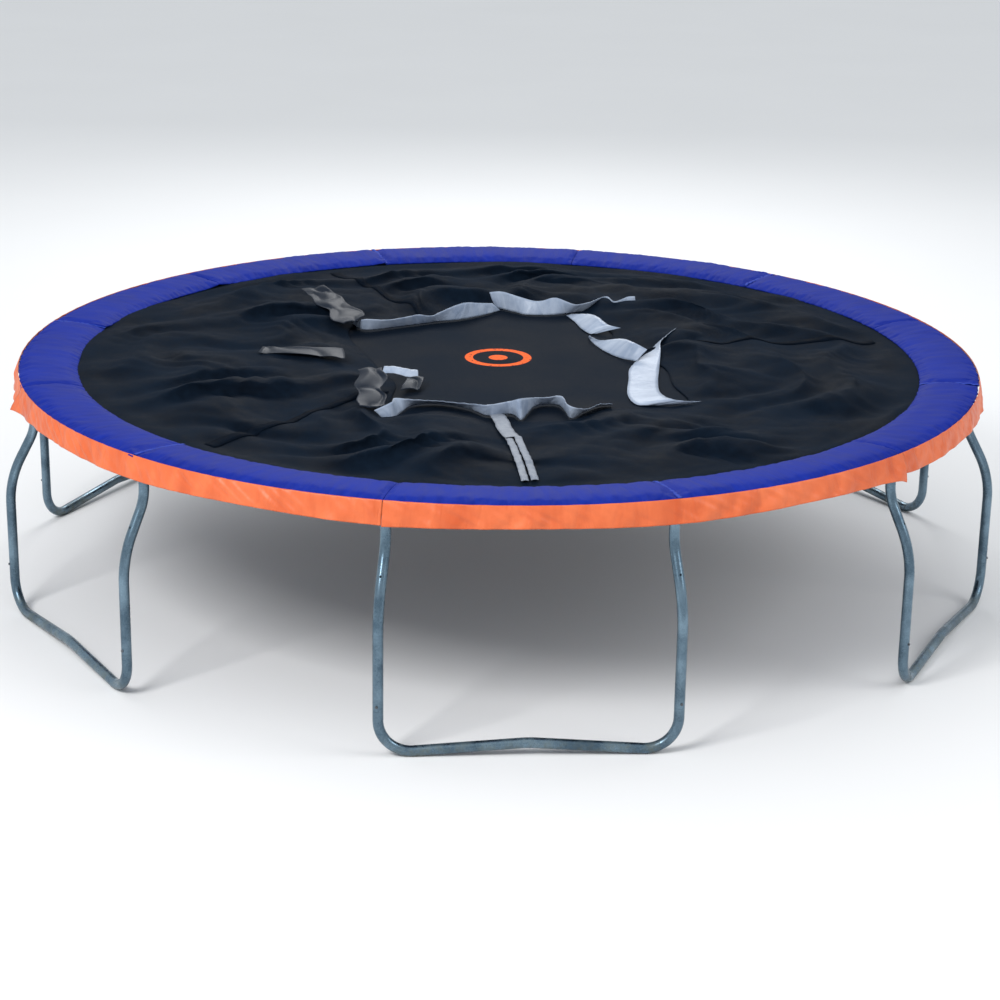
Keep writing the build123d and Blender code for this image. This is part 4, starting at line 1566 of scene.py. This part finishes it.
class HeightMap:
    """The highest point of the net over each small square of the mat."""

    def __init__(self, points: np.ndarray, cell: float, floor: float) -> None:
        """Sort the points into squares and keep the highest of each.

        Args:
            points: the net's points.
            cell: a square's side.
            floor: the height where there is no net.
        """
        self.cell, self.size = cell, int(4.2 / cell)
        self.high = np.full((self.size, self.size), floor)
        flat = points.reshape(-1, 3)
        i, j = self.index(flat[:, 0], flat[:, 1])
        np.maximum.at(self.high, (i, j), flat[:, 2])
        wide = np.pad(self.high, 1, mode="edge")
        near = [wide[a:a + self.size, b:b + self.size] for a in range(3) for b in range(3)]
        self.high = np.max(near, axis=0)

    def index(self, x: np.ndarray, y: np.ndarray) -> tuple[np.ndarray, np.ndarray]:
        """The square that a place falls in."""
        i = np.clip(((x + 2.1) / self.cell).astype(int), 0, self.size - 1)
        j = np.clip(((y + 2.1) / self.cell).astype(int), 0, self.size - 1)
        return i, j

    def at(self, x: np.ndarray, y: np.ndarray) -> np.ndarray:
        """The net's height under a place."""
        return self.high[self.index(x, y)]


# ------------------------------------------------------------------ silver band and strap
Station = tuple[float, float, float, float, float]


@dataclass
class TopBand:
    """The net's silver top band, in the stretches that show, each between a low and a high edge."""

    plan: Plan
    thickness: float = 0.0014
    ribbons: tuple[tuple[Station, ...], ...] = (
        (
            (-0.67, 0.67, -0.67, 0.61, 0.994), (-0.61, 0.55, -0.61, 0.53, 1.031), (-0.48, 0.60, -0.49, 0.56, 1.021),
            (-0.36, 0.66, -0.36, 0.63, 1.027), (-0.28, 0.70, -0.29, 0.66, 1.014), (-0.23, 0.72, -0.23, 0.70, 1.031),
            (-0.15, 0.75, -0.13, 0.77, 1.051), (-0.04, 0.83, -0.05, 0.84, 1.033), (0.06, 0.93, 0.02, 0.90, 1.016),
        ),
        (
            (0.04, 0.99, 0.01, 1.01, 1.046), (0.08, 0.95, 0.07, 0.97, 1.058), (0.14, 0.89, 0.14, 0.91, 1.051),
            (0.18, 0.85, 0.21, 0.87, 1.039), (0.27, 0.84, 0.26, 0.86, 1.039), (0.33, 0.85, 0.33, 0.87, 1.052),
            (0.41, 0.88, 0.42, 0.85, 1.024), (0.48, 0.92, 0.50, 0.89, 1.024), (0.56, 1.02, 0.59, 0.98, 1.018),
            (0.62, 0.93, 0.62, 0.89, 1.018), (0.69, 0.93, 0.69, 0.95, 1.036), (0.74, 0.96, 0.73, 0.95, 1.040),
        ),
        (
            (0.38, 0.83, 0.40, 0.78, 0.992), (0.41, 0.71, 0.48, 0.71, 1.010), (0.43, 0.58, 0.51, 0.59, 1.027),
            (0.46, 0.49, 0.55, 0.50, 1.013), (0.49, 0.48, 0.61, 0.48, 1.001),
        ),
        (
            (0.45, 0.43, 0.45, 0.37, 0.992), (0.46, 0.32, 0.49, 0.27, 0.997), (0.50, 0.17, 0.58, 0.18, 1.028),
            (0.56, 0.05, 0.62, 0.06, 1.044), (0.63, -0.01, 0.68, 0.00, 1.025),
        ),
        (
            (0.85, 0.47, 0.86, 0.36, 0.975), (0.77, 0.32, 0.77, 0.20, 0.975), (0.69, 0.13, 0.75, 0.06, 0.978),
            (0.59, -0.12, 0.72, -0.14, 0.976), (0.56, -0.32, 0.69, -0.34, 0.976), (0.53, -0.55, 0.67, -0.56, 0.985),
            (0.55, -0.70, 0.69, -0.71, 1.002), (0.63, -0.72, 0.74, -0.73, 0.996), (0.74, -0.71, 0.83, -0.72, 0.985),
        ),
        (
            (-0.54, -0.92, -0.58, -0.94, 1.019), (-0.50, -0.90, -0.51, -0.88, 1.035), (-0.46, -0.80, -0.49, -0.79, 1.028),
            (-0.41, -0.71, -0.40, -0.76, 1.011), (-0.29, -0.69, -0.30, -0.75, 1.003), (-0.17, -0.77, -0.17, -0.82, 1.011),
            (-0.10, -0.87, -0.10, -0.89, 1.027), (0.00, -0.85, -0.01, -0.86, 1.033), (0.04, -0.93, 0.03, -0.91, 1.059),
            (0.10, -0.75, 0.09, -0.78, 1.026), (0.16, -0.70, 0.15, -0.74, 1.014), (0.22, -0.73, 0.22, -0.76, 1.026),
            (0.25, -0.91, 0.24, -0.92, 1.032), (0.30, -0.83, 0.32, -0.88, 1.005), (0.38, -0.73, 0.38, -0.79, 0.999),
            (0.44, -0.71, 0.44, -0.77, 0.994),
        ),
        (
            (-0.54, -0.35, -0.53, -0.30, 1.03), (-0.49, -0.34, -0.48, -0.30, 1.03), (-0.43, -0.36, -0.42, -0.31, 1.02),
            (-0.38, -0.35, -0.38, -0.29, 1.01),
        ),
    )
    low: float = 0.972

    def ribbon(self, stations: tuple[Station, ...], seed: int, ground: HeightMap) -> tuple[np.ndarray, np.ndarray]:
        """Points and flat map of one stretch.

        Returns:
            Rows along the stretch: straight lines between two smooth edges, bowed and crumpled by ripples.
        """
        edges = smooth_line(np.array(stations), 9)
        high = edges[:, 2:]
        short = np.clip(ground.at(high[:, 0], high[:, 1]) + 0.006 - high[:, 2], 0, 0.06)
        high = high + np.array([0, 0, 1]) * np.convolve(np.pad(short, 4, mode="edge"), np.ones(9) / 9, mode="valid")[:, None]
        foot = np.full(len(edges), self.low) if seed < 906 else high[:, 2] - 0.02
        low = np.column_stack([edges[:, :2], foot])
        across = np.linspace(0, 1, 9)[None, :, None]
        grid = low[:, None] * (1 - across) + high[:, None] * across
        run = np.concatenate([[0], np.cumsum(np.linalg.norm(np.diff((low + high) / 2, axis=0), axis=1))])[:, None]
        wave = Ripples(seed, 0.05, 0.16, 0.5).at(run, across[..., 0] * 0.06)
        normal = surface_normals(grid)
        bow = 0.002 * np.sin(math.pi * across[..., 0])
        grid = grid + normal * (bow + 0.003 * (np.abs(wave) ** 0.7 - 0.5))[..., None]
        flat = np.stack(np.broadcast_arrays(run, across[..., 0] * 0.06), axis=-1)
        floor = self.plan.mat_top + 0.003
        grid[..., 2] = np.maximum(grid[..., 2], floor)
        if seed >= 906:
            short = (ground.at(grid[..., 0], grid[..., 1]) + 0.003 - grid[..., 2]).max(axis=1)
            grid[..., 2] += np.convolve(np.pad(np.clip(short, 0, 0.1), 4, mode="edge"), np.ones(9) / 9, mode="valid")[:, None]
        return grid, flat

    def build(self, ground: HeightMap, effects: Effects) -> None:
        """Build all stretches as one piece."""
        shape = Shape()
        length = 0.0
        for number, stations in enumerate(self.ribbons):
            grid, flat = self.ribbon(stations, 900 + number, ground)
            add_sheet(shape, grid, self.thickness, flat, back=0)
            length += float(flat[..., 0].max())
        obj = shape.build("top_band_silver")
        silver = CoatedVinyl("silver_vinyl", tint(0.21, 0.27, 0.38), tint(0.38, 0.44, 0.54), 0.38, 0.15, 24.0, 12.0, 0.0025)
        finish_piece(obj, "mat_edge", "silver_band", ("net_top_band",), silver.make(effects))
        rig.sheet(obj, flat=(length, 0.075), held="gathered", rests_on=["enclosure_net_cloth"])


@dataclass
class DoorFlaps:
    """Dark glossy vinyl flaps of the net's door, crumpled on the heap."""

    plan: Plan
    thickness: float = 0.0014
    steps: int = 26
    flaps: tuple = (
        ((-0.92, 0.99, 1.03), (-0.80, 0.99, 1.05), (-0.60, 0.56, 1.00), (-0.72, 0.46, 0.99)),
        ((-0.65, -0.56, 1.07), (-0.54, -0.54, 1.07), (-0.53, -0.90, 1.00), (-0.65, -0.91, 1.00)),
        ((-0.45, -0.38, 1.00), (-0.35, -0.36, 1.00), (-0.37, -0.50, 0.985), (-0.45, -0.52, 0.985)),
        ((-1.08, 0.01, 1.01), (-0.72, -0.02, 1.01), (-0.70, -0.16, 1.00), (-1.09, -0.06, 1.00)),
    )

    def sheet(self, corners: tuple, seed: int, ground: HeightMap) -> tuple[np.ndarray, np.ndarray]:
        """Points and flat map of one flap.

        Returns:
            A blend of four corners over a square grid, crumpled by ridged ripples and kept above the net.
        """
        corner = np.array(corners)
        u = np.linspace(0, 1, self.steps)[:, None, None]
        w = np.linspace(0, 1, self.steps)[None, :, None]
        grid = corner[0] * (1 - u) * (1 - w) + corner[1] * u * (1 - w) + corner[2] * u * w + corner[3] * (1 - u) * w
        width, length = np.linalg.norm(corner[1] - corner[0]), np.linalg.norm(corner[3] - corner[0])
        flat = np.stack(np.broadcast_arrays(u[..., 0] * width, w[..., 0] * length), axis=-1)
        wave = Ripples(seed, 0.11, 0.3, 1.0, 7).at(flat[..., 0], flat[..., 1])
        grid[..., 2] += 0.011 * (np.abs(wave) ** 0.8 - 0.4)
        grid[..., :2] += 0.016 * Ripples(seed + 20, 0.12, 0.3, 1.0, 5).at(flat[..., 0], flat[..., 1])[..., None] * [1.0, 0.6]
        under = ground.at(grid[..., 0], grid[..., 1]) + 0.004
        lift = float(np.clip(under - grid[..., 2], 0, 0.1).max())
        grid[..., 2] += 0.8 * lift
        return grid, flat

    def build(self, ground: HeightMap, effects: Effects) -> None:
        """Build the flaps as one piece."""
        shape = Shape()
        area = 0.0
        for number, corners in enumerate(self.flaps):
            grid, flat = self.sheet(corners, 980 + number, ground)
            add_sheet(shape, grid, self.thickness, flat)
            area += float(flat[..., 0].max() * flat[..., 1].max())
        obj = shape.build("door_flaps")
        dark = CoatedVinyl("dark_vinyl", tint(0.006, 0.010, 0.018), tint(0.012, 0.018, 0.030), 0.36, 0.0, 9.0, 5.0, 0.0002, 0.07)
        finish_piece(obj, "mat_edge", "silver_band", (), dark.make(effects))
        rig.sheet(obj, flat=(area / 0.5, 0.5), held="gathered", rests_on=["enclosure_net_cloth"])


@dataclass
class DoorStrap:
    """The door's grey strap and its two tails, lying over the net to the pad."""

    plan: Plan
    thickness: float = 0.0016
    strap: tuple = ((-0.06, -0.86), (-0.052, -0.99), (-0.042, -1.15), (-0.020, -1.27))
    strap_width: float = 0.064
    tails: tuple = (
        ((-0.036, -1.26), (-0.027, -1.36), (-0.020, -1.50), (-0.011, -1.64), (-0.006, -1.80)),
        ((0.000, -1.25), (0.009, -1.36), (0.017, -1.50), (0.026, -1.64), (0.032, -1.80)),
    )
    tail_width: float = 0.030

    def strip(self, path: tuple, width: float, ground: HeightMap, seed: int) -> tuple[np.ndarray, np.ndarray]:
        """A strip across a path, level across and lying on the net below it."""
        line = smooth_line(np.array(path), 12)
        along = np.gradient(line, axis=0)
        along /= np.linalg.norm(along, axis=1, keepdims=True)
        side = np.stack([-along[:, 1], along[:, 0]], axis=1)
        across = np.linspace(-0.5, 0.5, 7)[None, :, None]
        flat_place = line[:, None] + side[:, None] * across * width
        under = ground.at(flat_place[..., 0], flat_place[..., 1]).max(axis=1)
        padded = np.pad(under, 6, mode="edge")
        under = np.max([padded[a:a + len(under) + 6] for a in range(7)], axis=0)
        under = np.convolve(under, np.ones(7) / 7, mode="valid")
        run = np.concatenate([[0], np.cumsum(np.linalg.norm(np.diff(line, axis=0), axis=1))])[:, None]
        wave = 0.003 * Ripples(seed, 0.05, 0.15, 0.4).at(run, across[..., 0] * width)
        z = under[:, None] + 0.006 + wave + 0.003 * (1 - (2 * across[..., 0]) ** 2)
        grid = np.concatenate([flat_place, z[..., None]], axis=-1)
        flat = np.stack(np.broadcast_arrays(run, across[..., 0] * width), axis=-1)
        return grid, flat

    def build(self, ground: HeightMap, effects: Effects) -> None:
        """Build the strap and its tails."""
        shape = Shape()
        area = 0.0
        pieces = [(self.strap, self.strap_width), *((tail, self.tail_width) for tail in self.tails)]
        for number, (path, width) in enumerate(pieces):
            grid, flat = self.strip(path, width, ground, 950 + number)
            add_sheet(shape, grid, self.thickness, flat)
            area += float(flat[..., 0].max()) * width
        obj = shape.build("door_strap_webbing")
        grey = WovenCloth("grey_webbing", tint(0.20, 0.23, 0.29), tint(0.34, 0.37, 0.42), 500.0, 0.55)
        finish_piece(obj, "mat_edge", "webbing", ("net_door_strap",), grey.make(effects))
        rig.sheet(obj, flat=(area / 0.06, 0.06), held="laid", rests_on=["enclosure_net_cloth"])


# ------------------------------------------------------------------ studio
@dataclass
class Studio:
    """Floor, lights and camera."""

    place: tuple[float, float, float] = (-0.661, -10.463, 3.874)
    heading: tuple[float, float] = (0.0644, 0.998)
    down: float = 18.83
    roll: float = 0.93
    lens: float = 85.4

    def floor(self) -> None:
        """A wide, pale, dull floor."""
        shape = Shape()
        reach = 60.0
        shape.add(np.array([[-reach, -reach, 0], [reach, -reach, 0], [reach, reach, 0], [-reach, reach, 0]]), [[[0, 1, 2, 3]]])
        obj = shape.build("studio_floor")
        material, wire, shader, places = start_material("studio_floor")
        noise = wire.node("TexNoise", {"Vector": places[Mapped.PLACE], "Scale": 0.6})
        pale = wire.mix(noise.outputs[0], tint(0.80, 0.80, 0.80), tint(0.83, 0.83, 0.83))
        wire.tree.links.new(pale, shader.inputs["Base Color"])
        shader.inputs["Roughness"].default_value = 0.95
        shader.inputs["Specular IOR Level"].default_value = 0.1
        obj.data.materials.append(material)
        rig.stage(obj)

    def light(self, name: str, place: tuple, size: float, power: float, aim: tuple = (0.0, 0.0, 0.8)) -> None:
        """A square soft light at a place, aimed at a point."""
        data = bpy.data.lights.new(name, "AREA")
        data.shape, data.size, data.energy = "SQUARE", size, power
        obj = bpy.data.objects.new(name, data)
        obj.location = place
        toward = mathutils.Vector(aim) - mathutils.Vector(place)
        obj.rotation_euler = toward.to_track_quat("-Z", "Y").to_euler()
        bpy.context.scene.collection.objects.link(obj)

    def camera(self) -> None:
        """The camera: aimed by its heading and tilt, then rolled about its own axis."""
        data = bpy.data.cameras.new("camera")
        data.lens, data.sensor_width = self.lens, 36.0
        data.clip_end = 200.0
        obj = bpy.data.objects.new("camera", data)
        flat = mathutils.Vector((*self.heading, 0.0)).normalized()
        tilt = math.radians(self.down)
        forward = flat * math.cos(tilt) - mathutils.Vector((0, 0, math.sin(tilt)))
        right = forward.cross((0, 0, 1)).normalized()
        up = right.cross(forward)
        turn = math.radians(self.roll)
        rolled_right = right * math.cos(turn) + up * math.sin(turn)
        rolled_up = up * math.cos(turn) - right * math.sin(turn)
        rotation = mathutils.Matrix((rolled_right, rolled_up, -forward)).transposed()
        obj.matrix_world = mathutils.Matrix.Translation(self.place) @ rotation.to_4x4()
        bpy.context.scene.collection.objects.link(obj)
        bpy.context.scene.camera = obj

    def build(self) -> None:
        """Set the world, floor, lights and camera."""
        world = bpy.data.worlds.new("studio")
        world.use_nodes = True
        world.node_tree.nodes["Background"].inputs[0].default_value = tint(0.92, 0.96, 1.0)
        world.node_tree.nodes["Background"].inputs[1].default_value = 0.82
        bpy.context.scene.view_settings.view_transform = "Standard"
        bpy.context.scene.world = world
        self.floor()
        self.light("key", (-5.0, -6.5, 7.0), 3.0, 620.0)
        self.light("fill", (6.5, -4.0, 5.0), 4.0, 150.0)
        self.light("back", (0.5, 7.5, 6.0), 4.0, 250.0)
        self.camera()


def main() -> None:
    """Build the trampoline's looks in order."""
    logging.basicConfig(level=logging.INFO, format="%(message)s")
    effects, plan = Effects(), read_plan()
    Studio().build()
    SteelFrame().dress(effects)
    SpringSet(plan).build(effects)
    MatRings(plan).build(effects)
    JumpingMat(plan).build(effects)
    MatHem(plan).build(effects)
    PadRing(plan).build(effects)
    SkirtSet(plan).build(effects)
    PadTies(plan).build(effects)
    net = EnclosureNet(plan).build(effects)
    ground = HeightMap(net, 0.02, plan.mat_top)
    TopBand(plan).build(ground, effects)
    DoorFlaps(plan).build(ground, effects)
    DoorStrap(plan).build(ground, effects)
    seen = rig.bounds()
    with open("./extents.json", "w") as out:
        json.dump({"cad": [list(corner) for corner in CAD_BOX], "looks": [list(corner) for corner in seen]}, out)


if __name__ == "__main__":
    main()
